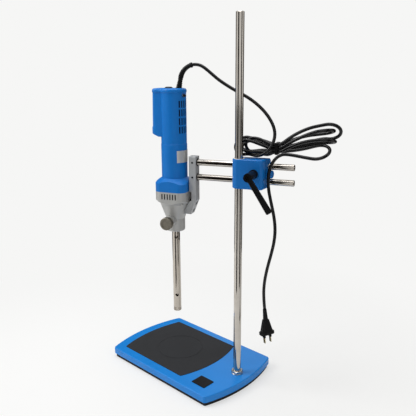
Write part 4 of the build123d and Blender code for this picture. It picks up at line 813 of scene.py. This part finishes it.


# %% [markdown]
# ## Painted shade: vent linings and rod rings
# Air slots look black because little light comes back out of them. Here matt black rings in the wall paint
# that shade at once, and the same material makes the thin black rings where the bars enter the bracket,
# painted shade for their bores.

# %% Painted shade: black linings in the vents, and black rings at the bars
# The linings stand inside the walls, NOSE_INSET and about 1 mm behind the outer faces. Their black is painted
# shade that makes the slots read dark, but they also close them off, so the slots' real depth doesn't show.
# Painted shade: one matt black for the vent linings and the rings round the bars.
dark_matt = moulded("painted_shade_black", "0B0B0D", "060607", 0.9, 1.0)
BAND_HALF, BAND_CORNER, BAND_OUTER_R = 32.0, 14.0, 40.0
NOSE_INSET, NOSE_LINING = 1.0, 0.6
NOSE_LOW, NOSE_HIGH = 373.0, 386.0
REAR_LINING_OUT, REAR_LINING_IN = 23.9, 23.4
REAR_LOW, REAR_HIGH = 499.5, 562.5
# The rods' heights and radius, and the bracket's side that they enter.
ROD_UPPER_Z, ROD_LOWER_Z, ROD_R = 445.3, 416.7, 6.0
BRACKET_OUTER = MOTOR_X + 48.2
ROD_GAP, ROD_RING_OUT, ROD_RING_TOP = 0.05, 1.4, 1.2
ROD_RING_LOW, ROD_RING_HIGH = -0.3, 0.6
REACH_STEP = 0.05


def past_corner(x, y, half, corner):
    """True where a point lies beyond a rounded corner of a square of the given half side."""
    over_x = max(abs(x) - half + corner, 0)
    over_y = max(abs(y) - half + corner, 0)
    return over_x ** 2 + over_y ** 2 > corner ** 2


def band_ring(inset, z, count=96):
    """The nose band's rounded square, made smaller by some millimetres, as a ring of points."""
    ring = []
    half, corner = BAND_HALF - inset, BAND_CORNER - inset
    for k in range(count):
        angle = 2 * pi * k / count
        x, y = cos(angle), sin(angle)
        reach = half / max(abs(x), abs(y))
        while past_corner(reach * x, reach * y, half, corner):
            reach -= REACH_STEP
        reach = min(reach, BAND_OUTER_R - inset)
        ring.append(motor(reach * x, reach * y, z))
    return ring


nose_inner = NOSE_INSET + NOSE_LINING
nose_vent_shade = skin("nose_vent_shade", [band_ring(NOSE_INSET, NOSE_LOW), band_ring(NOSE_INSET, NOSE_HIGH),
                                   band_ring(nose_inner, NOSE_HIGH), band_ring(nose_inner, NOSE_LOW)],
                   False, dark_matt)
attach(nose_vent_shade, "arm")
rear_profile = [(REAR_LINING_OUT, REAR_LOW), (REAR_LINING_OUT, REAR_HIGH),
                (REAR_LINING_IN, REAR_HIGH), (REAR_LINING_IN, REAR_LOW)]
rear_vent_shade = hoop("rear_vent_shade", rear_profile, MOTOR_AXIS, UPRIGHT, dark_matt)
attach(rear_vent_shade, "arm")
# A bevelled black ring round each bar, just proud of the bracket's side: painted shade where the bar enters
# its bore.
rod_profile = [(ROD_R + ROD_GAP, ROD_RING_LOW), (ROD_R + ROD_RING_OUT, ROD_RING_LOW),
               (ROD_R + ROD_RING_TOP, ROD_RING_HIGH), (ROD_R + ROD_GAP, ROD_RING_HIGH)]
for name, z in (("upper_rod_shade_ring", ROD_UPPER_Z), ("lower_rod_shade_ring", ROD_LOWER_Z)):
    ring = hoop(name, rod_profile, Vector((BRACKET_OUTER, ROD_Y, z)), ALONG_ROD, dark_matt, 40)
    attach(ring, "arm")
print("linings and rod rings made")
